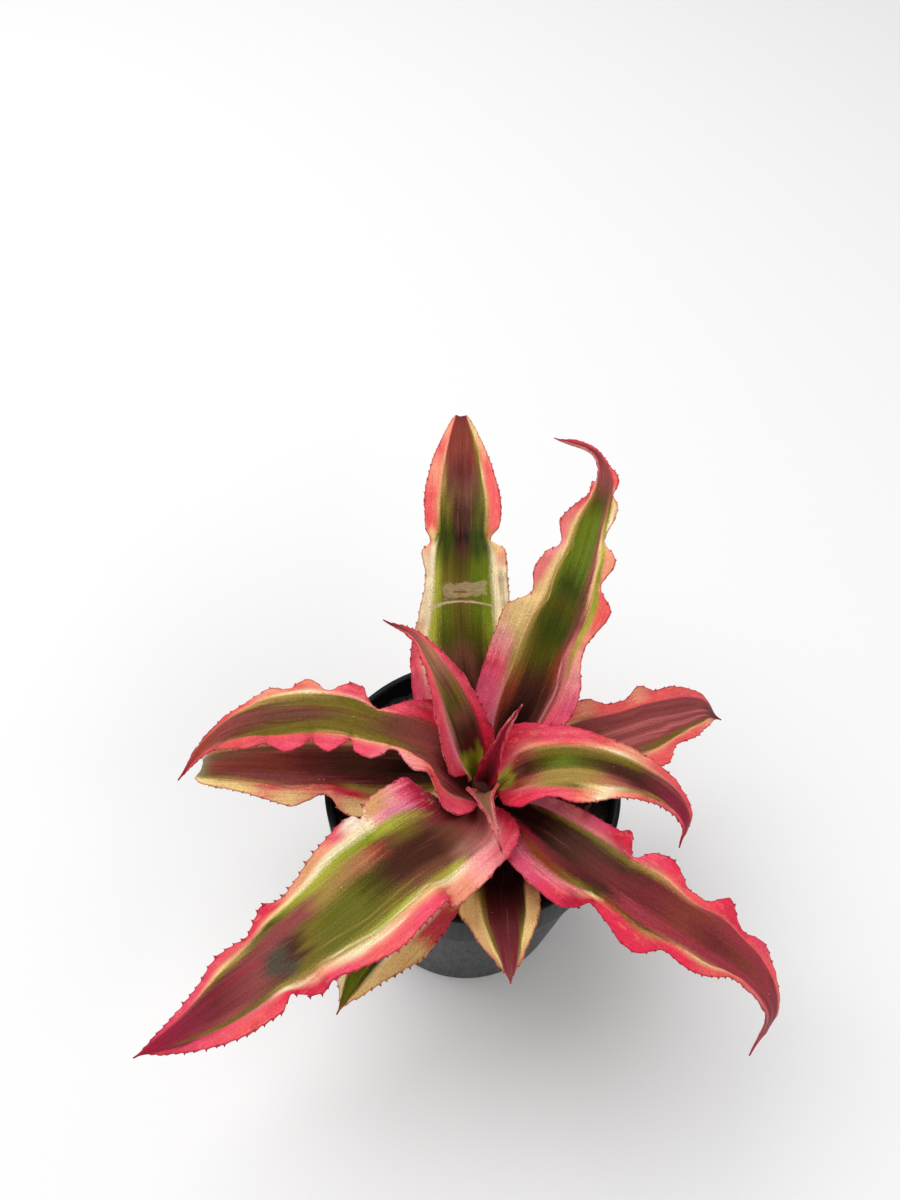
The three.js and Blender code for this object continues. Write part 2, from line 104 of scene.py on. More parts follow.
# The leaves, from the lowest on the stem to the crown. A midrib is a smooth curve from base to
# tip. Left and right are as seen looking out along the leaf, and each of their rows is a place
# along the leaf from 0 to 1, the margin's distance from the midrib, and how far it is ruffled up
# or down. Cup is the channel's depth as a share of the half width, and roll tips the left side
# down, in degrees; both are spread evenly from base to tip.
LEAVES = {
    "leaf_front_low": dict(
        heading=-83, teeth=0.75, needle=0.3, cup=[0.15, 0.15, 0.1, 0.1], roll=[0, 0],
        midrib=[(3, -7.5, 54.5), (6, -18.5, 57.5), (6.5, -28, 60), (7.5, -37, 61), (8.5, -42, 58.5),
                (9.5, -46, 53)],
        left=[(0, 3, 0), (0.12, 7, 0), (0.38, 9, 0.4), (0.6, 8.5, -0.3), (0.7, 7.2, 0.3),
              (0.84, 3.7, 0), (1, 0.6, 0)],
        right=[(0, 3, 0), (0.12, 6, 0), (0.38, 8.5, 0), (0.6, 9.6, -0.3), (0.73, 6.8, 0.3),
               (0.86, 3, 0), (1, 0.6, 0)],
    ),
    "leaf_front_left_low": dict(
        heading=-124, teeth=0.8, cup=[0.3, 0.25, 0.2, 0.1], roll=[0, 0],
        midrib=[(0, -7.5, 58), (-1.5, -18, 62), (-6.5, -29, 65), (-14.5, -38, 65.5), (-21.5, -46, 62),
                (-27, -54.5, 55)],
        left=[(0, 2.4, 0), (0.1, 5.5, 0.3), (0.25, 6.5, 0.5), (0.42, 7, -0.2), (0.55, 9.4, 0.6),
              (0.64, 9.8, -0.3), (0.74, 8, 0.3), (0.87, 4.2, 0), (1, 0.4, 0)],
        right=[(0, 2.4, 0), (0.1, 6.5, 0), (0.3, 9, 0.5), (0.5, 8.6, -0.4), (0.7, 7.4, 0.4),
               (0.88, 4, 0), (1, 0.6, 0)],
    ),
    "leaf_left_low": dict(
        heading=180, teeth=0.55, bite=2.2, cup=[0.3, 0.2, 0.1], roll=[5, 20, 20, 10],
        midrib=[(-1.5, -3.5, 57), (-8, 0, 61), (-17, -0.5, 63), (-28.5, -1.5, 64.5), (-40, -2.5, 65),
                (-52, -1.5, 63), (-61.5, 1, 58), (-66, 4.5, 51)],
        left=[(0, 2.4, 0), (0.1, 7, 0), (0.24, 12, 0.5), (0.38, 12, 0.2), (0.44, 10, 0), (0.465, 6.8, -0.6),
              (0.485, 5.9, -0.8), (0.57, 9, 0.6), (0.66, 7.2, -0.5), (0.76, 5.6, 0.5), (0.84, 4.8, 0),
              (0.93, 3.6, 0), (1, 2.6, 0)],
        right=[(0, 3, 0), (0.1, 7, 0), (0.25, 9, 0.4), (0.42, 8, -0.6), (0.55, 9, 0.5),
               (0.7, 7.6, -0.4), (0.85, 5.6, 0), (0.95, 3.9, 0), (1, 2.8, 0)],
    ),
    "leaf_right_low": dict(
        heading=20, teeth=0.55, cup=[0.3, 0.2, 0.1, 0], roll=[0, -15, -20, -10],
        midrib=[(6, -3, 58.5), (13.5, 4.5, 61), (25, 9, 63.5), (37, 13.5, 65), (47.5, 18, 63),
                (56, 22.5, 59), (60.5, 23, 55)],
        left=[(0, 3, 0), (0.12, 7, 0), (0.3, 9, 0.4), (0.43, 9.2, 0.6), (0.51, 6.6, -0.8),
              (0.57, 6.2, -0.6), (0.63, 8.4, 0.8), (0.7, 6.9, -0.4), (0.77, 7, 0.3), (0.86, 6, 0),
              (0.93, 4.4, 0), (0.98, 1.6, 0), (1, 0.8, 0)],
        right=[(0, 3, 0), (0.12, 8, 0), (0.3, 10.5, 0.4), (0.52, 12, -0.4), (0.64, 11.4, 0.4),
               (0.73, 6.8, -0.6), (0.8, 6.4, 0.3), (0.87, 4.8, 0), (0.95, 3.2, 0), (1, 0.8, 0)],
    ),
    "leaf_back": dict(
        heading=92, teeth=0.5, bite=0.7, cup=[0.4, 0.3, 0.25, 0.2, 0.1, 0.1], roll=[0, 0],
        midrib=[(2, -1.2, 60), (-0.5, 13, 67), (-3.5, 25, 75), (-5, 38, 83), (-5, 51, 90),
                (-5.5, 67.5, 93), (-6.5, 87.5, 92)],
        left=[(0, 3, 0), (0.08, 8.5, 0), (0.23, 14, 0.5), (0.33, 13, -0.4), (0.4, 10.8, 0.4),
              (0.5, 8.6, -0.3), (0.555, 9.8, 0.4), (0.585, 7.8, -0.8), (0.615, 9.2, 0.4),
              (0.69, 9.6, 0), (0.8, 8, 0.2), (0.9, 5.2, 0), (0.98, 2.4, 0), (1, 1.4, 0)],
        right=[(0, 3, 0), (0.08, 8.5, 0), (0.25, 13, 0.5), (0.44, 12, -0.5), (0.57, 10.6, 0.5),
               (0.6, 6.8, -1), (0.63, 9, 0.4), (0.68, 9.3, 0), (0.78, 7.6, 0.2), (0.89, 5, 0),
               (0.98, 2.3, 0), (1, 1.4, 0)],
    ),
    "leaf_front_right": dict(
        heading=-45, teeth=0.6, cup=[0.4, 0.25, 0.1, 0.1, 0.1], roll=[0, 0],
        midrib=[(5, -7, 61), (11.5, -14, 66.5), (19, -22, 70.5), (28, -30, 73), (38.5, -36.5, 72),
                (49.5, -41.5, 68), (60, -45, 60), (66, -49.5, 52), (62.5, -56, 45)],
        left=[(0, 3, 0), (0.1, 7, 0), (0.23, 9.6, 0.4), (0.33, 10.4, 0.6), (0.354, 11.9, 0.4), (0.395, 7.8, -0.8),
              (0.43, 10.6, 0.4), (0.475, 11.6, 0.8), (0.56, 8.4, -0.7), (0.595, 8.4, -0.9),
              (0.645, 11.2, 0.8), (0.72, 7.4, -0.5), (0.77, 7.9, 0.5), (0.84, 5.3, 0), (0.91, 2.4, 0),
              (0.97, 1, 0), (1, 0.4, 0)],
        right=[(0, 3, 0), (0.1, 7, 0), (0.23, 12.6, 0.4), (0.31, 13.2, 0.5), (0.343, 12.8, 0.3),
               (0.363, 10.6, -0.3), (0.378, 6.8, -0.9), (0.42, 9, 0.4), (0.49, 11.8, 0.8),
               (0.555, 6.6, -0.8), (0.61, 8, 0.6), (0.67, 5.8, 0), (0.73, 3.2, -0.3), (0.83, 3, 0),
               (0.91, 3.4, 0), (1, 0.6, 0)],
    ),
    "leaf_back_right": dict(
        heading=74, teeth=0.5, cup=[0.5, 0.35, 0.3, 0.3, 0.3, 0.8], roll=[0, 0],
        midrib=[(3.6, -1.8, 63.5), (11.5, 11, 76), (15.5, 19.5, 85), (19.5, 28.5, 93), (23.5, 40, 99),
                (27, 55.5, 101), (26.5, 70, 98), (18, 80.6, 92)],
        left=[(0, 3, 0), (0.08, 8, 0), (0.2, 12.8, 0.4), (0.37, 13.2, 0.6), (0.425, 8.6, -1),
              (0.47, 9.8, 0.6), (0.51, 8.8, 0.3), (0.55, 6, -1), (0.59, 7.6, 0.8), (0.64, 5.6, 0.4),
              (0.67, 4, 0.1), (0.7, 2.5, 0), (0.725, 2.5, 0), (0.745, 1.1, -0.3), (0.78, 0.8, 0),
              (0.9, 0.6, 0), (1, 0.2, 0)],
        right=[(0, 3, 0), (0.08, 8, 0), (0.24, 11.2, 0.4), (0.345, 8, -0.6), (0.385, 9, 0.2),
               (0.43, 10.9, 0.8), (0.485, 6.2, -1), (0.53, 8, 0.8), (0.585, 3.6, -1), (0.615, 4.2, 0),
               (0.65, 5, 0.6), (0.68, 4, 0.2), (0.698, 3.1, -0.3), (0.725, 4.1, 0.2), (0.75, 3.9, 0.3),
               (0.8, 2, 0), (0.86, 1.3, 0), (0.92, 1.3, 0), (0.955, 1.1, 0), (0.98, 0.6, 0), (1, 0.3, 0)],
    ),
    "leaf_front_left": dict(
        heading=-138, teeth=0.9, cup=[0.4, 0.2, 0.1, 0.05, 0.05], roll=[0, 0],
        midrib=[(-0.5, -8, 65), (-2.5, -20, 74), (-13, -31, 79), (-23, -41, 80.5), (-34, -50.5, 79),
                (-45.5, -59, 76), (-56, -65, 71), (-65.5, -69, 65)],
        left=[(0, 3, 0), (0.05, 8, 0.8), (0.11, 11.4, 0.8), (0.2, 12.6, 0.4), (0.225, 13.2, -0.4),
              (0.25, 12.9, -4.6), (0.27, 12.7, -6.4), (0.29, 12.4, -5), (0.31, 12, -1.6), (0.33, 12, 0.6),
              (0.38, 12.2, -0.3), (0.45, 13.2, 0.5), (0.54, 11, 0), (0.59, 9.6, 0.3), (0.615, 9.8, -2.6),
              (0.64, 8.8, -2.6), (0.67, 6.5, -0.8), (0.7, 8.6, 0.5), (0.77, 8.2, 0), (0.85, 6.2, 0.2),
              (0.93, 3, 0), (1, 0.4, 0)],
        right=[(0, 3, 0), (0.05, 5, -0.6), (0.11, 7, -2.2), (0.17, 10.4, -0.8), (0.23, 16, 0.5),
               (0.29, 16, 0.4), (0.325, 15.4, 0.2), (0.345, 13.4, -0.9), (0.362, 14.8, 0.3),
               (0.38, 15, 0.3), (0.43, 14.2, 0.6), (0.49, 12.8, 0.4), (0.53, 11.4, -0.4),
               (0.59, 10, 0), (0.62, 11, 0.5), (0.65, 9.6, 0), (0.685, 7.8, -0.3), (0.74, 8, 0.3), (0.83, 4.8, 0),
               (0.91, 2.4, 0), (1, 0.4, 0)],
    ),
    "leaf_left_high": dict(
        heading=168, teeth=0.6, needle=0.7, cup=[0.5, 0.35, 0.05, -0.1, -0.1, 0], roll=[-5, 8, 22, 20, 10],
        midrib=[(-1, -4.8, 67.5), (-8, -2, 76), (-18.5, -0.5, 81), (-30.5, 1, 84.5), (-41.5, 1, 84),
                (-53, 0.5, 80), (-61, -1.5, 73), (-67.5, -5.5, 64)],
        left=[(0, 9, 0), (0.03, 13.4, -0.6), (0.07, 16.6, -1.6), (0.1, 17, -1.8), (0.13, 15.2, -1.2),
              (0.147, 12, -0.6), (0.165, 9.6, 0), (0.185, 9.2, 0.3), (0.21, 9.4, 0.3), (0.235, 7.6, 0),
              (0.26, 4.9, -0.7), (0.277, 4.6, -0.8), (0.3, 7, 0.4), (0.33, 8.6, 0.6), (0.37, 7.6, 0.2), (0.392, 4.9, -1), (0.415, 6.8, 0), (0.455, 8.6, 0.7),
              (0.49, 7.6, 0.2), (0.513, 5.8, -1), (0.54, 7.4, 0), (0.59, 8.6, 0.7), (0.63, 7, 0),
              (0.655, 6, -0.7), (0.71, 6.4, 0.4), (0.78, 4.6, 0), (0.85, 2.2, -0.2), (0.92, 1.1, 0),
              (1, 0.3, 0)],
        right=[(0, 3, 0), (0.08, 7.5, 0), (0.2, 9, 0.4), (0.28, 6.6, 0), (0.31, 4.8, -0.5),
               (0.34, 3.4, -0.8), (0.375, 4.6, -0.2), (0.395, 6.6, 0.6), (0.42, 6.9, 0.7),
               (0.475, 4.7, -0.6), (0.52, 7, 0.8), (0.585, 5.4, -0.5), (0.62, 5.8, 0.4), (0.7, 3.6, 0),
               (0.8, 2.2, 0), (0.9, 1.3, 0), (1, 0.3, 0)],
    ),
    "leaf_right_high": dict(
        heading=-8, teeth=0.65, cup=[0.5, 0.3, 0.1, 0, 0], roll=[-15, -25, -20, -10],
        midrib=[(6.2, -6.4, 69), (12.5, -6, 77), (22, -6.5, 81.5), (32, -8.5, 81), (42, -10.5, 75),
                (47, -14, 70), (46.5, -17, 65)],
        left=[(0, 3, 0), (0.07, 8, 0), (0.16, 9.8, 0.3), (0.31, 7.8, -0.3), (0.46, 5.8, 0.3),
              (0.58, 5.4, -0.3), (0.7, 4.8, 0.2), (0.83, 3.6, 0), (0.93, 1.8, 0), (1, 0.5, 0)],
        right=[(0, 3, 0), (0.07, 8, 0), (0.15, 9.8, 0.3), (0.24, 8.2, -0.7), (0.38, 9.8, 0.4),
               (0.47, 8.4, -0.3), (0.58, 5.4, 0.3), (0.74, 3, 0), (0.85, 2, 0), (0.93, 1.2, 0),
               (1, 0.5, 0)],
    ),
    "leaf_upper_left": dict(
        heading=115, teeth=0.7, cup=[0.4, 0.8, 0.6, 0.4, 0.3], roll=[0, 0],
        midrib=[(0, -3.5, 71), (-2, -1, 80), (-5.5, 3.5, 87), (-10, 9, 92), (-15, 16.5, 93),
                (-21.5, 22.5, 90)],
        left=[(0, 2.6, 0), (0.1, 7, 0), (0.22, 9, 0), (0.36, 7.3, 0.2), (0.48, 4.8, 0), (0.62, 2.2, 0),
              (0.8, 0.8, 0), (1, 0.2, 0)],
        right=[(0, 2.6, 0), (0.1, 4.2, 0), (0.25, 5.6, 0), (0.48, 4.9, 0.2), (0.66, 3, 0),
               (0.82, 1.1, 0), (1, 0.2, 0)],
    ),
    "leaf_centre_front": dict(
        heading=-75, teeth=0.5, cup=[0.5, 0.6, 0.5], roll=[0, 0],
        midrib=[(3, -9.3, 70), (2, -14.8, 77.8), (3.5, -22, 82), (5.5, -29.5, 83)],
        left=[(0, 3, 0), (0.25, 3.7, 0), (0.48, 2.1, 0), (0.64, 1.1, 0), (0.82, 0.6, 0), (1, 0.3, 0)],
        right=[(0, 3, 0), (0.25, 3.9, 0), (0.48, 2.1, 0), (0.64, 1.1, 0), (0.82, 0.6, 0), (1, 0.3, 0)],
    ),
    "leaf_centre_back": dict(
        heading=60, teeth=0.5, cup=[0.5, 0.6, 0.9, 1], roll=[0, 0],
        midrib=[(2.6, -6.2, 70.5), (4, -6, 81), (6, -4.5, 90), (8.5, -3.5, 97)],
        left=[(0, 2.2, 0), (0.24, 2.5, 0), (0.5, 1.35, 0), (0.75, 0.7, 0), (1, 0.25, 0)],
        right=[(0, 2.2, 0), (0.24, 2.8, 0), (0.5, 1.5, 0), (0.75, 0.75, 0), (1, 0.25, 0)],
    ),
}

# The colours run along each blade in bands: a middle one, then an inner and an outer one, a light
# line and an edge on either side. Left and right give where the first four of these end, as a
# share of the way from midrib to margin, at places along the leaf. Each band's own colour changes
# along the leaf, at the places in front of the colours. A stroke is a fine line from one place to
# another, at a share of the way across, with its width in millimetres.
PAINT = {
    # The near-black base half lies in the shade of the leaves above it and is painted shade; the honey in its margins
    # is partly painted light.
    "leaf_front_low": dict(
        left=[(0, .2, .5, .66, .7), (.5, .2, .5, .66, .74), (.75, .3, .56, .68, .78), (1, .4, .7, .8, .9)],
        right=[(0, .2, .4, .5, .6), (.5, .2, .4, .52, .6), (.75, .2, .42, .56, .66), (1, .3, .5, .7, .9)],
        middle="0 soot .5 soot .64 maroon .8 wine .93 mauve 1 mauve",
        left_bands=["0 soot .5 soot .64 maroon .8 wine .92 plum 1 mauve",
                    "0 soot .45 soot .6 umber .72 olive .82 khaki .9 mauve 1 mauve",
                    "0 rose .45 clay .58 honey .8 honey .9 clay 1 mauve",
                    "0 peach .48 clay .6 straw .75 honey .86 tan .95 mauve 1 mauve"],
        right_bands=["0 soot .46 soot .6 maroon .76 wine .9 plum 1 mauve",
                     "0 soot .45 umber .55 olive .66 khaki .8 olive .9 mauve 1 mauve",
                     "0 coral .5 khaki .6 honey .84 honey 1 mauve",
                     "0 peach .5 honey .66 honey .86 tan 1 mauve"],
        strokes=[(.55, .9, .3, .3, "plum"), (.6, .9, -.12, .2, "mauve")],
    ),
    # The near-black at its base is painted shade, and the honey margins on its left are partly painted light, brighter
    # than their own colour where they lie in the shade of leaf_front_left.
    "leaf_front_left_low": dict(
        left=[(0, .3, .45, .5, .56), (.5, .2, .4, .56, .74), (.7, .2, .4, .5, .6), (1, .3, .5, .6, .8)],
        right=[(0, .3, .45, .5, .56), (.5, .3, .5, .6, .7), (.85, .3, .45, .55, .65), (1, .3, .5, .6, .7)],
        middle="0 soot .3 umber .5 moss .75 moss .9 green 1 olive",
        left_bands=["0 umber .4 moss .7 deep .86 moss 1 olive",
                    "0 umber .38 cream .48 cream .64 cream .74 cream .9 khaki 1 khaki",
                    "0 straw .4 honey .47 coral .54 pink .6 coral .67 honey .8 honey 1 straw",
                    "0 coral .3 coral .4 honey .46 coral .52 pink .58 coral .64 honey .69 honey .86 honey 1 straw"],
        right_bands=["0 umber .4 moss .7 green 1 moss", "0 umber .4 olive .7 khaki 1 khaki",
                     "0 straw .6 straw 1 cream", "0 pink .5 peach .7 cream 1 cream"],
        strokes=[(.7, .98, -.2, .25, "fern")],
    ),
    # Its near-black base is painted shade under leaf_left_high, and the honey along its left margin is partly painted
    # light, brighter than the margin's own colour where it lies in shade.
    "leaf_left_low": dict(
        left=[(0, .1, .35, .5, .6), (.3, .1, .35, .5, .62), (.45, .15, .36, .46, .66), (.6, .15, .4, .5, .68),
              (.8, .2, .44, .54, .66), (1, .2, .5, .65, .8)],
        right=[(0, .3, .5, .6, .7), (.5, .3, .55, .68, .8), (1, .3, .5, .65, .8)],
        middle="0 soot .25 soot .36 umber .43 umber .53 cocoa .63 russet .86 russet .94 olive 1 olive",
        left_bands=["0 soot .22 umber .34 maroon .46 wine .55 mauve .65 mauve .74 mauve .84 bark .92 olive 1 olive",
                    "0 umber .2 olive .32 khaki .4 khaki .46 rust .54 mauve .65 clay .8 khaki .92 olive 1 olive",
                    "0 khaki .3 khaki .38 ruby .44 hot .49 coral .58 peach .64 coral .71 tan .92 khaki 1 khaki",
                    "0 straw .33 honey .4 straw .45 peach .52 peach .58 honey .66 peach .74 honey .92 honey 1 tan"],
        right_bands=["0 soot .3 umber .45 umber .55 cocoa .65 russet .84 bark 1 olive", "0 umber .35 bark .7 bark .85 bark 1 olive",
                     "0 straw .5 clay .8 clay 1 olive", "0 pink .4 coral .7 peach .9 clay 1 tan"],
        strokes=[(.3, .8, -.25, .2, "mauve"), (.5, .9, -.5, .25, "brick")],
    ),
    "leaf_right_low": dict(
        left=[(0, .2, .4, .5, .56), (.35, .2, .45, .55, .62), (.5, .2, .45, .52, .6), (.7, .3, .52, .58, .64),
              (1, .3, .6, .7, .8)],
        right=[(0, .2, .4, .5, .56), (.4, .2, .46, .6, .66), (.6, .2, .52, .66, .7), (.8, .2, .54, .66, .72),
               (1, .3, .6, .7, .8)],
        middle="0 soot .28 umber .38 wine .46 mauve .9 mauve .96 maroon 1 soot",
        left_bands=["0 soot .28 wine .42 mauve .9 mauve .96 wine 1 soot",
                    "0 umber .3 mauve .42 mauve .8 mauve 1 wine",
                    "0 rose .3 straw .42 clay .5 coral .7 coral .85 pink 1 plum",
                    "0 hot .25 pink .36 coral .42 peach .48 coral .57 coral .62 peach .68 coral .9 coral 1 plum"],
        right_bands=["0 soot .28 wine .4 mauve .65 mauve .85 mauve 1 maroon",
                     "0 umber .35 mauve .5 mauve .62 olive .85 olive .95 bark 1 umber",
                     "0 rose .4 khaki .6 peach .9 peach 1 umber",
                     "0 hot .3 pink .5 coral .82 coral .92 peach 1 umber"],
        strokes=[(.35, .95, .32, 1.1, "rose"), (.45, .9, -.28, .9, "wine"), (.4, .95, .04, .9, "rose")],
    ),
    "leaf_back": dict(
        left=[(0, .2, .45, .55, .62), (.33, .2, .5, .68, .8), (.5, .2, .56, .72, .84), (.57, .2, .58, .72, .84),
              (.62, .25, .5, .62, .7), (.8, .3, .5, .6, .68), (.92, .34, .58, .66, .72), (1, .4, .6, .7, .75)],
        right=[(0, .2, .45, .55, .62), (.33, .2, .45, .66, .78), (.5, .2, .44, .68, .8), (.57, .2, .44, .72, .84),
               (.62, .25, .45, .62, .7), (.8, .3, .5, .6, .66), (1, .4, .6, .7, .74)],
        middle="0 soot .16 soot .24 umber .31 bark .36 moss .46 olive .53 moss .575 umber .6 soot .63 umber "
               ".67 umber .72 bark .79 cocoa .86 russet .94 russet 1 wine",
        left_bands=["0 soot .18 umber .28 bark .35 moss .42 green .5 olive .55 moss .58 deep .614 deep .64 moss "
                    ".69 olive .75 bark .82 russet .94 russet 1 wine",
                    "0 mauve .2 umber .3 khaki .36 lime .5 lime .56 green .582 deep .614 deep .645 moss .69 olive "
                    ".76 khaki .84 russet 1 wine",
                    "0 rose .25 rose .33 cream .57 cream .6 green .625 khaki .68 tan .84 peach 1 coral",
                    "0 hot .2 orchid .3 pink .335 pink .355 peach .4 cream .53 cream .57 peach .6 straw .63 coral "
                    ".72 coral .79 peach .86 coral .93 peach 1 peach"],
        right_bands=["0 soot .18 umber .28 umber .35 moss .42 green .53 green .565 deep .614 deep .64 moss .69 moss "
                     ".76 bark .82 russet .94 russet 1 wine",
                     "0 mauve .2 rust .3 olive .38 fern .55 green .578 deep .616 deep .65 moss .7 olive .95 olive "
                     "1 mauve",
                     "0 rose .25 rose .33 cream .56 cream .6 khaki .66 khaki .78 straw .86 khaki .95 khaki 1 straw",
                     "0 hot .15 pink .28 rose .35 cream .52 cream .56 peach .59 straw .63 coral .8 coral .86 peach "
                     ".94 straw 1 peach"],
        strokes=[(.4, .55, .87, .7, "deep"), (.34, .92, 0, .2, "umber"),
                 (.33, .56, -.66, .25, "lime")],
        scraped=True,
    ),
    "leaf_front_right": dict(
        left=[(0, .3, .5, .6, .68), (.2, .3, .55, .66, .76), (.35, .3, .55, .66, .76), (.5, .35, .6, .68, .73),
              (.8, .4, .66, .72, .77), (1, .5, .66, .74, .8)],
        right=[(0, .1, .3, .4, .5), (.15, .14, .3, .45, .56), (.3, .14, .36, .54, .64), (.38, .12, .4, .5, .56),
               (.5, .12, .46, .54, .6), (.7, .15, .56, .64, .72), (1, .4, .6, .7, .8)],
        middle="0 soot .16 soot .28 umber .36 cocoa .48 wine .56 russet .64 wine .74 russet .84 garnet "
               ".93 plum 1 crimson",
        left_bands=["0 soot .12 soot .26 umber .4 umber .48 wine .58 russet .68 garnet .8 garnet .9 wine 1 crimson",
                    "0 umber .1 umber .18 olive .38 olive .46 khaki .52 clay .6 mauve .7 garnet .85 garnet 1 crimson",
                    "0 rose .12 lilac .22 rose .3 rose .37 mauve .42 clay .5 peach .6 coral .8 coral 1 crimson",
                    "0 lilac .12 lilac .2 rose .28 orchid .33 ruby .37 ruby .42 pink .5 hot .58 coral .63 hot .7 hot "
                    ".76 pink .84 coral .92 rose 1 crimson"],
        right_bands=["0 wine .12 crimson .2 wine .32 maroon .38 umber .44 garnet .6 garnet .8 garnet .92 wine 1 crimson",
                     "0 mauve .1 plum .17 rust .26 rust .33 olive .375 moss .42 rust .5 bark .6 clay .7 garnet "
                     ".85 garnet 1 crimson",
                     "0 orchid .1 orchid .2 mauve .28 rose .34 rose .37 straw .41 rust .5 khaki .56 coral .62 straw "
                     ".7 peach .8 coral 1 crimson",
                     "0 lilac .14 lilac .2 orchid .26 orchid .32 hot .35 crimson .385 ruby .42 hot .61 hot .66 coral "
                     ".72 coral .82 rose .92 mauve 1 crimson"],
        strokes=[(.16, .35, .7, .4, "blush"), (.2, .36, .62, .2, "lilac"), (.4, .8, .36, .3, "crimson")],
    ),
    "leaf_back_right": dict(
        left=[(0, .3, .42, .5, .55), (.2, .3, .45, .52, .6), (.3, .3, .42, .5, .6), (.36, .32, .44, .52, .88),
              (.42, .34, .46, .54, .84), (.47, .36, .48, .56, .74), (.6, .36, .5, .6, .74), (.7, .4, .55, .64, .72),
              (1, .5, .6, .7, .8)],
        right=[(0, .2, .4, .52, .62), (.2, .2, .42, .54, .66), (.35, .3, .48, .6, .74), (.45, .38, .5, .62, .78),
               (.6, .42, .54, .66, .8), (1, .5, .6, .7, .8)],
        middle="0 soot .16 soot .24 umber .3 moss .36 deep .42 moss .46 deep .52 green .62 green .67 moss "
               ".71 bark .77 mauve .87 wine 1 crimson",
        left_bands=["0 umber .14 maroon .22 rust .3 olive .38 moss .5 green .6 green .67 olive .75 mauve 1 crimson",
                    "0 mauve .12 rust .2 rust .28 khaki .36 khaki .62 khaki .71 clay .78 mauve 1 crimson",
                    "0 orchid .1 lilac .2 rose .28 khaki .36 straw .44 straw .62 straw .7 peach .8 blush 1 coral",
                    "0 hot .1 orchid .2 orchid .25 pink .3 blush .36 straw .41 straw .45 salmon .5 salmon .54 blush "
                    ".57 salmon .62 salmon .66 coral .7 coral .76 blush .86 blush .92 rose 1 crimson"],
        right_bands=["0 soot .14 umber .22 umber .28 rust .36 bark .44 bark .5 mauve .62 mauve .7 bark .8 mauve "
                     "1 crimson",
                     "0 mauve .15 mauve .25 mauve .34 rose .4 mauve .45 tan .56 straw .64 khaki .71 mauve 1 crimson",
                     "0 hot .15 pink .25 rose .33 khaki .38 lime .5 fern .56 lime .66 olive .73 mauve 1 crimson",
                     "0 hot .22 orchid .3 blush .36 peach .41 coral .46 coral .5 peach .55 peach .61 cream .67 straw "
                     ".73 coral .86 coral 1 crimson"],
        strokes=[(.2, .6, -.5, .12, "tan"), (.1, .34, .44, .3, "blush")],
    ),
    "leaf_front_left": dict(
        left=[(0, .2, .4, .5, .6), (.12, .2, .45, .6, .72), (.2, .2, .42, .54, .66), (.3, .2, .45, .58, .68),
              (.45, .2, .5, .62, .74), (.6, .25, .5, .64, .82), (.7, .3, .5, .6, .68), (.85, .3, .5, .6, .7),
              (1, .4, .6, .7, .8)],
        right=[(0, .1, .2, .26, .3), (.1, .15, .25, .3, .36), (.2, .25, .42, .56, .68), (.3, .3, .5, .66, .78),
               (.45, .3, .6, .74, .86), (.6, .3, .66, .78, .86), (.75, .3, .6, .7, .8), (.9, .3, .5, .6, .7),
               (1, .4, .6, .7, .8)],
        # The grey near two thirds of the way along, here and on the left side, is a painted sheen; the near-black at
        # the base is painted shade under the leaves above.
        middle="0 soot .08 maroon .14 mauve .19 bark .25 umber .36 umber .42 moss .47 meadow .54 meadow .58 olive "
               ".615 umber .645 slate .67 slate .7 mauve .8 wine .9 plum 1 crimson",
        # On the left side, the lime and cream near a quarter of the way along, where the margin folds down, are partly
        # a painted highlight on the fold's crest, as is the start of the first cream stroke.
        left_bands=["0 mauve .1 mauve .2 dusk .25 bark .34 bark .4 olive .46 meadow .56 meadow .61 olive .65 slate .69 bark "
                    ".78 mauve .88 plum 1 crimson",
                    "0 rose .12 rose .2 dusk .25 lime .32 khaki .4 lime .58 khaki .66 khaki .72 olive .86 olive "
                    ".93 wine 1 crimson",
                    "0 pink .12 blush .2 blush .25 cream .31 straw .4 peach .52 cream .6 peach .67 cream .71 rose "
                    ".8 pink .9 plum 1 crimson",
                    "0 ruby .08 hot .14 pink .21 blush .245 peach .275 peach .295 hot .36 pink .5 coral .56 pink .62 hot "
                    ".67 hot .76 coral .86 pink 1 crimson"],
        # On the right side, the maroon, wine and crimson up to about a fifth of the way along are a painted shadow,
        # cast by the sheath of leaf_left_high.
        right_bands=["0 maroon .15 maroon .2 wine .235 bark .29 olive .34 bark .36 brick .39 clay .5 khaki .56 mauve .66 mauve "
                     ".78 wine .88 plum 1 crimson",
                     "0 maroon .15 maroon .2 wine .24 khaki .3 lime .36 fern .5 lime .58 fern .63 moss .68 green .73 khaki "
                     ".78 olive .84 mauve 1 crimson",
                     "0 maroon .17 maroon .21 crimson .25 lilac .29 lilac .32 blush .34 cream .43 cream "
                     ".5 cream .6 straw .68 rose .76 straw .85 pink 1 crimson",
                     "0 crimson .1 maroon .18 wine .21 crimson .245 orchid .275 blush .3 tan .332 tan .345 ivory "
                     ".375 ivory .41 pink .45 peach .5 tan .57 peach .61 hot .65 hot .7 coral .8 pink .9 pink 1 crimson"],
        strokes=[(.25, .62, -.56, .25, "cream"), (.3, .6, -.3, .2, "khaki"), (.66, .98, .3, .5, "crimson"),
                 (.7, .95, -.2, .4, "plum"), (.38, .6, -.7, .3, "cream")],
    ),
    "leaf_left_high": dict(
        left=[(0, .4, .56, .64, .68), (.1, .4, .58, .66, .7), (.17, .3, .46, .56, .62), (.3, .3, .5, .6, .66),
              (.45, .3, .54, .64, .7),
              (.6, .3, .56, .66, .72), (.8, .3, .55, .64, .72), (1, .4, .6, .7, .8)],
        right=[(0, .2, .3, .36, .4), (.16, .25, .4, .5, .56), (.26, .25, .46, .6, .7), (.4, .22, .5, .68, .78),
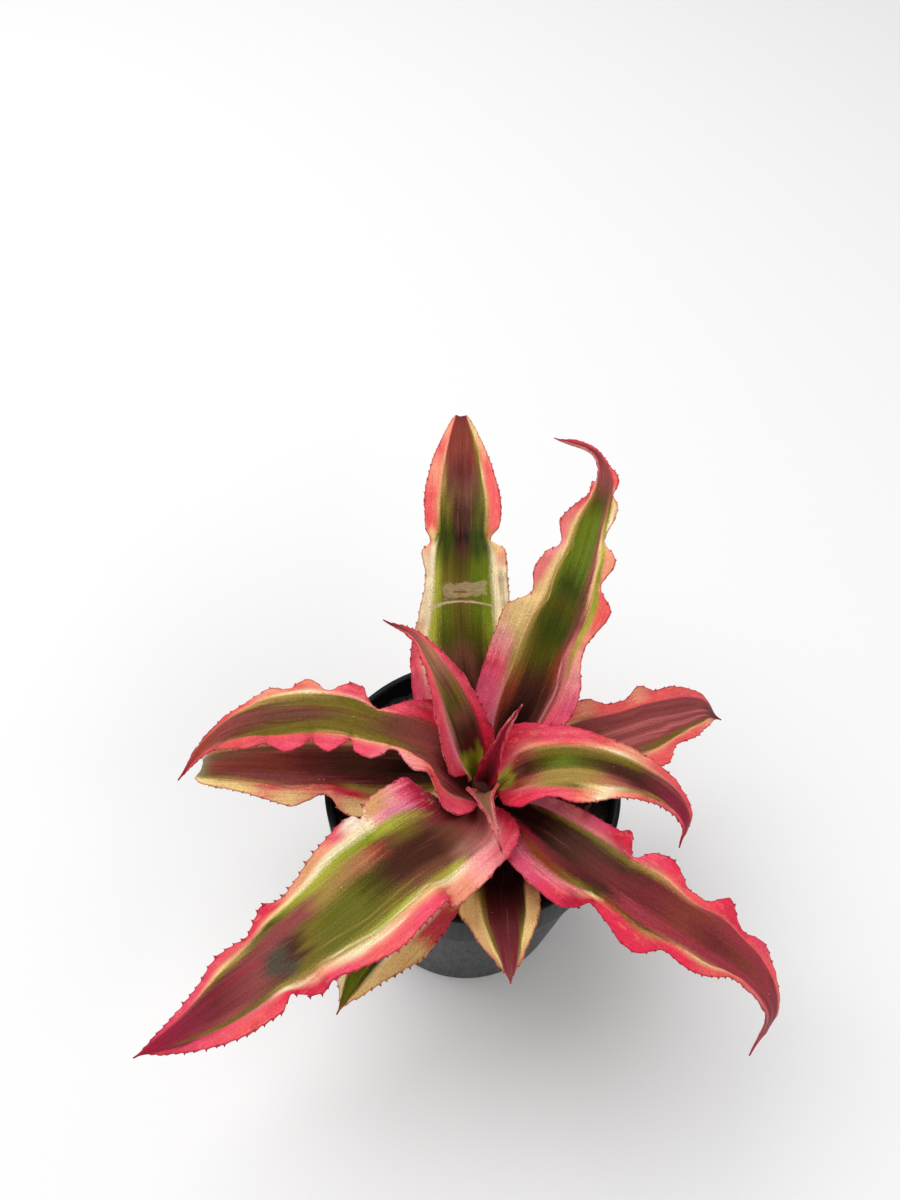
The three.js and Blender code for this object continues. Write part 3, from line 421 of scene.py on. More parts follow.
               (.6, .22, .5, .68, .8), (.8, .25, .45, .55, .65), (1, .3, .5, .7, .8)],
        middle="0 soot .1 maroon .18 mauve .28 bark .4 olive .52 bark .62 bark .75 mauve .86 brick 1 crimson",
        left_bands=["0 maroon .07 wine .13 mauve .2 bark .3 olive .45 olive .6 olive .72 bark .8 mauve .9 brick 1 crimson",
                    "0 bark .07 bark .13 mauve .22 mauve .3 olive .45 khaki .6 olive .72 olive .8 clay .9 brick 1 crimson",
                    "0 crimson .05 rose .12 coral .22 peach .28 peach .36 peach .5 coral .7 coral .82 coral 1 crimson",
                    "0 pink .1 pink .16 coral .21 blush .27 blush .33 pink .45 pink .6 pink .76 coral .9 coral 1 crimson"],
        right_bands=["0 wine .12 mauve .2 mauve .28 bark .38 olive .55 olive .66 bark .76 mauve .86 brick 1 crimson",
                     "0 hot .1 crimson .2 brick .28 mauve .33 olive .43 olive .52 khaki .62 khaki .71 khaki .8 clay "
                     ".9 brick 1 crimson",
                     "0 hot .2 hot .28 pink .34 peach .4 blush .46 peach .53 cream .6 straw .68 peach .77 coral "
                     ".9 coral 1 crimson",
                     "0 hot .2 hot .28 pink .36 coral .44 pink .5 peach .56 coral .64 peach .72 coral .9 brick "
                     "1 crimson"],
        strokes=[(.3, .8, .1, .4, "mauve"), (.5, .9, -.25, .3, "umber"), (.45, .8, .36, .3, "bark")],
    ),
    "leaf_right_high": dict(
        left=[(0, .2, .4, .5, .6), (.12, .2, .36, .44, .54), (.3, .16, .38, .46, .56), (.5, .2, .45, .54, .66),
              (.7, .3, .5, .6, .66), (1, .4, .6, .7, .8)],
        right=[(0, .2, .4, .5, .6), (.15, .2, .36, .5, .6), (.3, .18, .34, .58, .68), (.45, .2, .34, .6, .72),
               (.7, .3, .5, .62, .72), (1, .4, .6, .7, .8)],
        middle="0 olive .06 lime .1 bark .16 umber .24 moss .32 green .4 moss .51 umber .6 umber .72 wine "
               ".86 plum 1 crimson",
        left_bands=["0 lime .07 lime .12 brick .18 mauve .25 olive .45 olive .57 olive .65 bark .74 mauve .86 plum "
                    "1 crimson",
                    "0 lime .08 rose .14 brick .22 khaki .45 khaki .58 khaki .67 clay .76 mauve 1 crimson",
                    "0 pink .12 rose .2 peach .34 coral .42 peach .52 cream .62 peach .75 rose 1 crimson",
                    "0 hot .15 hot .28 pink .38 pink .45 coral .52 peach .6 peach .68 coral .78 coral .9 hot "
                    "1 crimson"],
        right_bands=["0 lime .05 khaki .1 brick .18 mauve .25 khaki .42 khaki .51 mauve .63 maroon .8 plum 1 crimson",
                     "0 pink .1 brick .18 clay .26 khaki .4 khaki .51 clay .61 mauve .7 khaki .8 wine 1 crimson",
                     "0 hot .15 rose .24 khaki .36 olive .45 straw .52 cream .6 khaki .72 olive .81 coral 1 crimson",
                     "0 hot .15 hot .28 pink .38 coral .44 peach .49 cream .56 peach .67 coral .8 rose .9 hot "
                     "1 crimson"],
        strokes=[(.08, .5, -.42, .22, "rose"), (.1, .5, .3, .25, "khaki"), (.6, .92, .1, .3, "plum")],
    ),
    "leaf_upper_left": dict(
        left=[(0, .3, .5, .6, .66), (.12, .26, .4, .5, .6), (.4, .24, .38, .48, .62), (.6, .25, .4, .5, .6),
              (1, .4, .6, .7, .8)],
        right=[(0, .3, .5, .64, .7), (.3, .25, .5, .62, .68), (.6, .25, .56, .68, .76), (1, .4, .6, .7, .8)],
        middle="0 green .07 fern .1 fern .15 maroon .25 umber .33 bark .42 moss .52 bark .6 taupe .7 taupe "
               ".8 mauve .9 wine 1 wine",
        left_bands=["0 green .07 lime .1 fern .15 umber .28 umber .38 moss .5 olive .6 taupe .75 mauve 1 wine",
                    "0 lime .06 lime .11 fern .18 mauve .25 dusk .5 dusk .65 clay .8 rose .9 mauve 1 wine",
                    "0 cream .08 blush .2 lilac .36 rose .5 coral .62 coral .8 coral 1 wine",
                    "0 hot .1 pink .25 pink .4 pink .5 pink .7 coral .86 coral 1 wine"],
        right_bands=["0 lime .1 fern .14 fern .2 maroon .27 umber .34 bark .45 olive .56 taupe .68 clay .8 mauve 1 wine",
                     "0 lime .1 lime .15 wine .22 wine .3 bark .4 taupe .55 clay .7 clay .82 mauve 1 wine",
                     "0 fern .08 wine .18 crimson .36 ruby .46 coral .62 rose .75 coral 1 wine",
                     "0 hot .15 ruby .28 hot .4 pink .62 pink .75 coral .86 coral 1 wine"],
        strokes=[(.2, .5, .55, .2, "umber"), (.3, .8, .3, .2, "mauve")],
    ),
    "leaf_centre_front": dict(
        left=[(0, .3, .55, .7, .84), (1, .3, .5, .66, .76)],
        right=[(0, .3, .55, .7, .84), (1, .3, .5, .66, .76)],
        middle="0 umber .1 bark .25 taupe .7 taupe .88 rose 1 wine",
        left_bands=["0 umber .1 bark .3 taupe .7 taupe .85 rose 1 wine", "0 bark .2 taupe .6 dusk .8 rose 1 wine",
                    "0 rose .5 rose .7 blush .9 rose 1 rose", "0 coral .3 coral .6 rose .8 blush 1 rose"],
        right_bands=["0 umber .1 bark .3 taupe .7 taupe .85 rose 1 wine", "0 bark .2 taupe .6 dusk .8 rose 1 wine",
                     "0 rose .5 rose 1 rose", "0 coral .3 rose .8 rose 1 rose"],
        strokes=[(0, .7, .15, .2, "brick")],
    ),
    "leaf_centre_back": dict(
        left=[(0, .3, .5, .7, .88), (1, .3, .5, .62, .72)],
        right=[(0, .3, .5, .7, .88), (1, .3, .5, .62, .72)],
        middle="0 maroon .3 plum .6 crimson 1 crimson",
        left_bands=["0 wine .4 plum 1 crimson", "0 plum .4 crimson 1 crimson", "0 plum .3 crimson 1 crimson",
                    "0 ruby .4 crimson .7 pink .9 blush 1 crimson"],
        right_bands=["0 maroon .25 wine .35 plum 1 crimson", "0 plum .3 plum .4 crimson 1 crimson",
                     "0 plum .3 plum .5 crimson 1 crimson", "0 ruby .4 crimson .7 pink .9 blush 1 crimson"],
        strokes=[(.3, .95, -.2, .25, "pink")],
    ),
}


# Smooth curves
def through(rows, column, place):
    """Value of one column of the rows at each place, on a smooth curve that never overshoots."""
    at = np.array([row[0] for row in rows], float)
    value = np.array([row[column] for row in rows], float)
    step = np.diff(at)
    slope = np.diff(value) / step
    before, after = slope[:-1], slope[1:]
    same_way = before * after > 0
    total = np.where(same_way, before + after, 1)
    inside = np.where(same_way, 2 * before * after / total, 0)
    tangent = np.concatenate([slope[:1], inside, slope[-1:]])
    k = np.clip(np.searchsorted(at, place) - 1, 0, len(at) - 2)
    f = np.clip((place - at[k]) / step[k], 0, 1)
    return (value[k] * (2 * f**3 - 3 * f**2 + 1)
            + tangent[k] * step[k] * (f**3 - 2 * f**2 + f)
            + value[k + 1] * (3 * f**2 - 2 * f**3)
            + tangent[k + 1] * step[k] * (f**3 - f**2))


def spread(values):
    return [(n / (len(values) - 1), value) for n, value in enumerate(values)]


def soften(values, rows):
    """Values averaged over a bell of about so many rows."""
    span = np.arange(-int(3 * rows), int(3 * rows) + 1)
    bell = np.exp(-0.5 * (span / rows) ** 2)
    padded = np.pad(values, int(3 * rows), mode="edge")
    return np.convolve(padded, bell / bell.sum(), mode="valid")


def unit(vectors):
    return vectors / np.linalg.norm(vectors, axis=-1, keepdims=True)


def smooth(low, high, value):
    """From 0 below low to 1 above high, with soft ends."""
    f = np.clip((value - low) / (high - low), 0, 1)
    return f * f * (3 - 2 * f)


def curve_points(points, count):
    """Uniform Catmull-Rom through the points, at even distances, and its length."""
    p = np.array(points, float)
    p = np.vstack([2 * p[0] - p[1], p, 2 * p[-1] - p[-2]])
    t = np.linspace(0, len(points) - 1, 40 * count)
    k = np.minimum(t.astype(int), len(points) - 2)
    f = (t - k)[:, None]
    a, b, c, d = p[k], p[k + 1], p[k + 2], p[k + 3]
    fine = 0.5 * (2 * b + (c - a) * f + (2 * a - 5 * b + 4 * c - d) * f**2
                  + (3 * b - 3 * c + d - a) * f**3)
    gone = np.concatenate([[0], np.cumsum(np.linalg.norm(np.diff(fine, axis=0), axis=1))])
    even = np.linspace(0, gone[-1], count + 1)
    return np.stack([np.interp(even, gone, fine[:, n]) for n in range(3)], 1), gone[-1]


class Blade:
    """The middle surface of one leaf: place runs from base to tip, across from -1 to 1."""

    def __init__(self, leaf):
        self.leaf = leaf
        self.needle = 0 if "bite" in leaf else leaf.get("needle", TIP_NEEDLE)
        self.points, self.length = curve_points(leaf["midrib"], MIDRIB_STEPS)
        ahead = np.vstack([self.points[1:], self.points[-1:]])
        behind = np.vstack([self.points[:1], self.points[:-1]])
        self.along = unit(ahead - behind)
        heading = math.radians(leaf["heading"])
        side = np.array([math.sin(heading), -math.cos(heading), 0])
        sides = []
        for along in self.along:
            side = side - along * (side @ along)
            side = side / np.linalg.norm(side)
            sides.append(side)
        self.sides = np.array(sides)

    def axes(self, place):
        """The midrib's point, and the directions along, to the right and up, at each place."""
        at = np.clip(place, 0, 1) * MIDRIB_STEPS
        steps = np.arange(MIDRIB_STEPS + 1)

        def pick(table):
            return np.stack([np.interp(at, steps, table[:, n]) for n in range(3)], 1)

        point, along, side = pick(self.points), unit(pick(self.along)), unit(pick(self.sides))
        beyond = np.minimum(place, 0) + np.maximum(place - 1, 0)
        point = point + along * (beyond * self.length)[:, None]
        roll = np.radians(through(spread(self.leaf["roll"]), 1, place))[:, None]
        lift = np.cross(side, along)
        side = side * np.cos(roll) - np.cross(along, side) * np.sin(roll)
        lift = np.cross(side, along)
        return point, along, side, lift

    def taper(self, place):
        """How far the blade narrows towards its point, unless it ends bluntly."""
        if "bite" in self.leaf:
            return np.ones(len(place))
        left_over = (1 - place) * self.length + self.needle
        return np.clip(left_over / (TIP_TAPER + self.needle), 0.04, 1) ** 0.8

    def half(self, place, right):
        return through(self.leaf["right" if right else "left"], 1, place) * self.taper(place)

    def surface(self, place, across):
        """Points for every pair of a place and an across, rows by columns."""
        point, along, side, lift = self.axes(place)
        across = np.broadcast_to(across, (len(place), np.shape(across)[-1]))
        right = across > 0
        columns = (lambda c: np.where(right, through(self.leaf["right"], c, place)[:, None],
                                      through(self.leaf["left"], c, place)[:, None]))
        half, ruffled = columns(1) * self.taper(place)[:, None], columns(2)
        cup = through(spread(self.leaf["cup"]), 1, place)[:, None]
        reach = np.abs(across)
        out = across * half * (1 - CUP_NARROWING * np.abs(cup) * reach**2)
        ruffle = np.maximum(0, (reach - RUFFLE_PLACE) / (1 - RUFFLE_PLACE)) ** RUFFLE_POWER
        up = cup * half * reach**2 + ruffled * ruffle
        return (point[:, None] + side[:, None] * out[..., None] + lift[:, None] * up[..., None],
                across * half)


def band_of(rows, place, reach, half, length):
    """Which colour band a point of the blade is in, from 0 at the midrib to 5 at the margin."""
    steady = soften(half, NOTCH_SPAN / (length * (place[1] - place[0])))
    ends = [np.zeros(len(place))]
    for n in range(1, 5):
        ends.append(np.minimum(through(rows, n, place) * steady / half, 0.82 + 0.035 * n))
    ends.append(np.ones(len(place)))
    total = np.zeros_like(reach)
    for low, high in zip(ends[:-1], ends[1:]):
        wide = np.maximum(high - low, 0.01)[:, None]
        total += np.clip((reach - low[:, None]) / wide, 0, 1)
    return total


# Meshes
def make_piece(name, points, faces, material, replaced=None, numbers=None, vectors=None, smoothed=True):
    """One mesh object from points in millimetres, with its attributes, on its body, hiding the node it replaces."""
    mesh = bpy.data.meshes.new(name)
    mesh.from_pydata((np.asarray(points, float) * METRE).tolist(), [], faces)
    mesh.validate()
    for key, values in (numbers or {}).items():
        attribute = mesh.attributes.new(key, "FLOAT", "POINT")
        attribute.data.foreach_set("value", np.asarray(values, np.float32).ravel())
    for key, values in (vectors or {}).items():
        attribute = mesh.attributes.new(key, "FLOAT_VECTOR", "POINT")
        attribute.data.foreach_set("vector", np.asarray(values, np.float32).ravel())
    mesh.shade_smooth() if smoothed else mesh.shade_flat()
    mesh.materials.append(material)
    piece = bpy.data.objects.new(name, mesh)
    bpy.context.scene.collection.objects.link(piece)
    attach(piece, "root")
    if replaced:
        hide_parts(replaced)
    return piece


def spine_places(blade, random):
    """Distances from the base of the spines on one margin, in millimetres."""
    places = []
    at = SPINE_SPACING * (0.6 + 0.4 * random.random())
    while at < blade.length - 1.2:
        places.append(at)
        at += SPINE_SPACING * (0.75 + 0.5 * random.random())
    return np.array(places)


def add_spines(blade, sign, places, random, store):
    """Small hooked spines on one margin, broad at the foot and leaning towards the tip."""
    rings, sides = 5, 6
    place = places / blade.length
    rim, _ = blade.surface(place, np.array([sign * 1.0]))
    inside, _ = blade.surface(place, np.array([sign * 0.9]))
    _, along, _, _ = blade.axes(place)
    out = unit(rim[:, 0] - inside[:, 0])
    for n, foot in enumerate(rim[:, 0]):
        tall = SPINE_HEIGHT * blade.leaf["teeth"] * (0.7 + 0.5 * random.random())
        wide = 0.5 + 0.22 * random.random()
        tall *= 1 + 0.25 * float(smooth(0.3, 0.1, place[n]))
        near_tip = float(smooth(0.8, 1, place[n]))
        tall *= 1 - 0.5 * near_tip
        wide *= 1 - 0.5 * near_tip
        normal = unit(np.cross(out[n], along[n]))
        first = store["count"]
        for ring in range(rings):
            up = ring / rings
            centre = foot + out[n] * (tall * up - 0.15) + along[n] * tall * SPINE_LEAN * up**1.6
            radius = wide * (1 - up) ** 1.25 + 0.03
            for side in range(sides):
                turn = 2 * math.pi * side / sides
                flat = min(radius, 0.15 - 0.06 * up) * math.sin(turn)
                store["points"].append(centre + along[n] * radius * math.cos(turn) + normal * flat)
                store["tooth"].append(up)
        tip = foot + out[n] * (tall - 0.15) + along[n] * tall * SPINE_LEAN * 1.1
        store["points"].append(tip)
        store["tooth"].append(1)
        made = rings * sides + 1
        for ring in range(rings - 1):
            for side in range(sides):
                a = first + ring * sides + side
                b = first + ring * sides + (side + 1) % sides
                store["faces"].append((a, b, b + sides, a + sides))
        for side in range(sides):
            a = first + (rings - 1) * sides + side
            b = first + (rings - 1) * sides + (side + 1) % sides
            store["faces"].append((a, b, first + made - 1))
        store["faces"].append(tuple(first + side for side in reversed(range(sides))))
        store["place"].extend([place[n]] * made)
        store["sign"].extend([sign] * made)
        store["count"] += made


def leaf_relief(blade, place, across, wide, seed):
    """Height of the fine relief over the middle surface: midrib groove, ribs and margin ripples."""
    far = (place * blade.length)[:, None]
    reach = np.abs(across)
    groove = -0.16 * np.exp(-(wide / 0.55) ** 2) * smooth(1.0, 0.8, place)[:, None]
    drift = 0.5 * np.sin(far / 13 + seed) + 0.3 * np.sin(far / 5.3 + 2 * seed)
    ribs = 0.05 * np.sin(2 * math.pi * (wide + drift) / 2.3) * smooth(0, 0.15, reach) * smooth(1.0, 0.75, reach)
    beat = np.sin(2 * math.pi * far / 6.1 + 3 * seed + np.sign(across)) + 0.6 * np.sin(2 * math.pi * far / 3.7 + seed)
    ripple = 0.14 * beat * smooth(0.6, 1, reach)
    return groove + ribs + ripple * smooth(0, 0.1, place)[:, None] * smooth(1.0, 0.9, place)[:, None]


def build_leaf(name, order):
    """A closed blade with relief, a rounded margin and hooked spines."""
    leaf, paint = LEAVES[name], PAINT[name]
    random = np.random.default_rng(SEED + order)
    blade = Blade(leaf)
    root = -ROOT_REACH / blade.length
    end = 1 + blade.needle / blade.length
    rows = int(round((end - root) * blade.length / ROW_STEP)) + 1
    place = np.linspace(root, end, rows)
    even = np.linspace(-1, 1, COLUMNS)
    across = even * (1.3 - 0.3 * even**2)
    middle, wide = blade.surface(place, across)
    across = np.broadcast_to(across, wide.shape)
    reach = np.abs(across)

    _, ahead, _, _ = blade.axes(place)
    bitten = leaf.get("bite", 0) * smooth(0.93, 1, place)
    middle = middle - ahead[:, None] * (bitten[:, None] * (1 - reach**1.5))[..., None]

    spines = {sign: spine_places(blade, random) for sign in (-1, 1)}
    far = place * blade.length
    for sign in (-1, 1):
        bump = np.zeros(rows)
        for at in spines[sign]:
            ahead = far - at
            bump += np.exp(-(ahead / np.where(ahead < 0, 0.75, 0.3)) ** 2)
        edge = -1 if sign > 0 else 0
        inner = -3 if sign > 0 else 2
        out = unit(middle[:, edge] - middle[:, inner])
        share = smooth(0.9, 1, reach) * (np.sign(across) == sign)
        middle = middle + out[:, None] * (0.24 * leaf["teeth"] * bump[:, None] * share)[..., None]

    normal = unit(np.cross(np.gradient(middle, axis=1), np.gradient(middle, axis=0)))
    middle = middle + normal * leaf_relief(blade, place, across, wide, order)[..., None]
    normal = unit(np.cross(np.gradient(middle, axis=1), np.gradient(middle, axis=0)))
    half = (MID_THICKNESS + (MARGIN_THICKNESS - MID_THICKNESS) * reach**1.5) / 2
    half = half * (0.35 + 0.65 * blade.taper(place))[:, None]
    top = middle + normal * half[..., None]
    bottom = middle - normal * half[..., None]
    rims = []
    for edge, inner in ((0, 1), (-1, -2)):
        out = unit(middle[:, edge] - middle[:, inner])
        rims.append(middle[:, edge] + out * RIM_ROUND)

    grid = rows * COLUMNS
    points = np.concatenate([top.reshape(-1, 3), bottom.reshape(-1, 3), rims[0], rims[1]])
    top_at = np.arange(grid).reshape(rows, COLUMNS)
    bottom_at = top_at + grid
    left_at = 2 * grid + np.arange(rows)
    right_at = left_at + rows

    def quads(a, b):
        return np.stack([a[:-1], b[:-1], b[1:], a[1:]], -1).reshape(-1, 4)

    faces = []
    for j in range(COLUMNS - 1):
        faces.append(quads(top_at[:, j], top_at[:, j + 1]))
        faces.append(quads(bottom_at[:, j + 1], bottom_at[:, j]))
    faces.append(quads(left_at, top_at[:, 0]))
    faces.append(quads(bottom_at[:, 0], left_at))
    faces.append(quads(top_at[:, -1], right_at))
    faces.append(quads(right_at, bottom_at[:, -1]))
    faces = [tuple(face) for face in np.concatenate(faces).tolist()]
    for row, flip in ((0, False), (rows - 1, True)):
        ring = [left_at[row], *top_at[row], right_at[row], *bottom_at[row][::-1]]
        ring = [int(n) for n in ring]
        faces.append(tuple(ring if flip else reversed(ring)))

    left_band = band_of(paint["left"], place, reach, blade.half(place, False), blade.length)
    right_band = band_of(paint["right"], place, reach, blade.half(place, True), blade.length)
    band = np.where(across > 0, right_band, -left_band)
    margin = np.where(across > 0, blade.half(place, True)[:, None], blade.half(place, False)[:, None])
    inset = (1 - reach) * margin
    along = np.broadcast_to(place[:, None], reach.shape)
    mm = np.stack([along * blade.length, wide, np.full_like(wide, 7.3 * order)], -1)
    rim_mm = [mm[:, 0], mm[:, -1]]

    def both(table):
        return np.concatenate([table.ravel(), table.ravel(), table[:, 0], table[:, -1]])

    numbers = {
        "along": both(along),
        "band": both(band),
        "inset": both(inset),
        "share": both(across),
        "under": np.concatenate([np.zeros(grid), np.ones(grid), np.zeros(2 * rows)]),
        "tooth": np.zeros(len(points)),
    }
    place_mm = np.concatenate([mm.reshape(-1, 3), mm.reshape(-1, 3), *rim_mm])

    store = {"points": [], "faces": [], "tooth": [], "place": [], "sign": [], "count": len(points)}
    for sign in (-1, 1):
        add_spines(blade, sign, spines[sign], random, store)
    count = len(store["points"])
    sign = np.array(store["sign"], float)
    spine_place = np.array(store["place"])
    points = np.concatenate([points, np.array(store["points"])])
    faces.extend(store["faces"])
    numbers["along"] = np.concatenate([numbers["along"], spine_place])
    numbers["band"] = np.concatenate([numbers["band"], 5 * sign])
    numbers["inset"] = np.concatenate([numbers["inset"], np.zeros(count)])
    numbers["share"] = np.concatenate([numbers["share"], sign])
    numbers["under"] = np.concatenate([numbers["under"], np.zeros(count)])
    numbers["tooth"] = np.concatenate([numbers["tooth"], store["tooth"]])
    edge_mm = np.stack([spine_place * blade.length, 9 * sign, np.full(count, 7.3 * order)], -1)
    place_mm = np.concatenate([place_mm, edge_mm])
    material = leaf_material(name + "_finish", paint)
    return make_piece(name + "_blade", points, faces, material, name, numbers, {"blade": place_mm})


# Shader nodes
def new_material(name):
    material = bpy.data.materials.new(name)
    material.use_nodes = True
    return material, material.node_tree, material.node_tree.nodes["Principled BSDF"]


def add(tree, kind, inputs=None, **settings):
    """A node with its settings, and its inputs set to values or linked from sockets."""
    made = tree.nodes.new(kind)
    for key, value in settings.items():
        setattr(made, key, value)
    for key, value in (inputs or {}).items():
        if isinstance(value, bpy.types.NodeSocket):
            tree.links.new(value, made.inputs[key])
        else:
            made.inputs[key].default_value = value
    return made


def calc(tree, operation, *values):
    inputs = dict(enumerate(values))
    return add(tree, "ShaderNodeMath", inputs, operation=operation).outputs[0]


def stretch(tree, vector, scale):
    return add(tree, "ShaderNodeVectorMath", {0: vector, 1: scale}, operation="MULTIPLY").outputs[0]


def clouds(tree, vector, scale, detail=2.0, rough=0.5, bend=0.0):
    """Noise from 0 to 1."""
    inputs = {"Vector": vector, "Scale": scale, "Detail": detail, "Roughness": rough, "Distortion": bend}
    return add(tree, "ShaderNodeTexNoise", inputs).outputs[0]


def step(tree, value, low, high, to_low=0.0, to_high=1.0):
    """Smooth step from to_low to to_high."""
    inputs = {0: value, 1: low, 2: high, 3: to_low, 4: to_high}
    return add(tree, "ShaderNodeMapRange", inputs, interpolation_type="SMOOTHSTEP").outputs[0]


def mix(tree, factor, a, b, blend="MIX"):
    inputs = {0: factor, 6: a, 7: b}
    return add(tree, "ShaderNodeMix", inputs, data_type="RGBA", blend_type=blend).outputs[2]


def attribute(tree, name, output="Fac"):
    return add(tree, "ShaderNodeAttribute", attribute_name=name).outputs[output]


def linear(hexes):
    """Linear colour from a web colour."""
    parts = [int(hexes[n:n + 2], 16) / 255 for n in (0, 2, 4)]
    return (*[c / 12.92 if c < 0.04045 else ((c + 0.055) / 1.055) ** 2.4 for c in parts], 1)


def ramp(tree, factor, stops):
    """A colour ramp from a text of places and colour names."""
    words = stops.split()
    pairs = [(float(words[n]), linear(COLOURS[words[n + 1]])) for n in range(0, len(words), 2)]
    made = add(tree, "ShaderNodeValToRGB", {0: factor})
    points = made.color_ramp.elements
    while len(points) < len(pairs):
        points.new(0.5)
    for point, (at, colour) in zip(points, pairs):
        point.position = at
        point.color = colour
    return made.outputs[0]


def scrape(tree, blade):
    """Where an old scrape shows, pale and ragged: an arched line in two strands and a hazy patch."""
    rough = clouds(tree, stretch(tree, blade, (0.9, 0.45, 1)), 1, 4, 0.7)
    fine = clouds(tree, stretch(tree, blade, (6, 0.5, 1)), 1, 3, 0.7)
    parts = add(tree, "ShaderNodeSeparateXYZ", {0: blade})
    along, across = parts.outputs[0], parts.outputs[1]
    square = calc(tree, "MULTIPLY", across, across)

    def band(value, middle, half, ragged):
        """From 1 near the middle of a band to 0 outside it."""
        off = calc(tree, "ABSOLUTE", calc(tree, "SUBTRACT", value, middle))
        off = calc(tree, "ADD", off, calc(tree, "MULTIPLY_ADD", rough, ragged, -ragged / 2))
        return step(tree, off, half + 0.2, half - 0.2)

    def strand(bend, where, half, middle, reach):
        bowed = calc(tree, "MULTIPLY_ADD", square, bend, along)
        return calc(tree, "MULTIPLY", band(bowed, where, half, 0.9), band(across, middle, reach, 1))

    lines = calc(tree, "MAXIMUM", strand(0.022, SCRAPE_LINE, 0.24, 0.3, 8.2),
                 strand(0.036, SCRAPE_LINE, 0.14, -4.6, 3.6))
    lines = calc(tree, "MULTIPLY", lines, step(tree, fine, 0.3, 0.5, 0.55, 0.95))
    tilted = calc(tree, "MULTIPLY_ADD", across, -0.09, along)
    patch = calc(tree, "MULTIPLY", band(tilted, SCRAPE_PATCH, 1.8, 2.6), band(across, 1.2, 5.2, 4))
    patch = calc(tree, "MULTIPLY", patch, step(tree, fine, 0.38, 0.62, 0.22, 0.55))
    hole = calc(tree, "MULTIPLY", band(along, SCRAPE_PATCH - 0.4, 0.25, 0.6), band(across, 0, 1.6, 1))
    patch = calc(tree, "MULTIPLY", patch, calc(tree, "SUBTRACT", 1.0, hole))
    return calc(tree, "MAXIMUM", lines, patch)


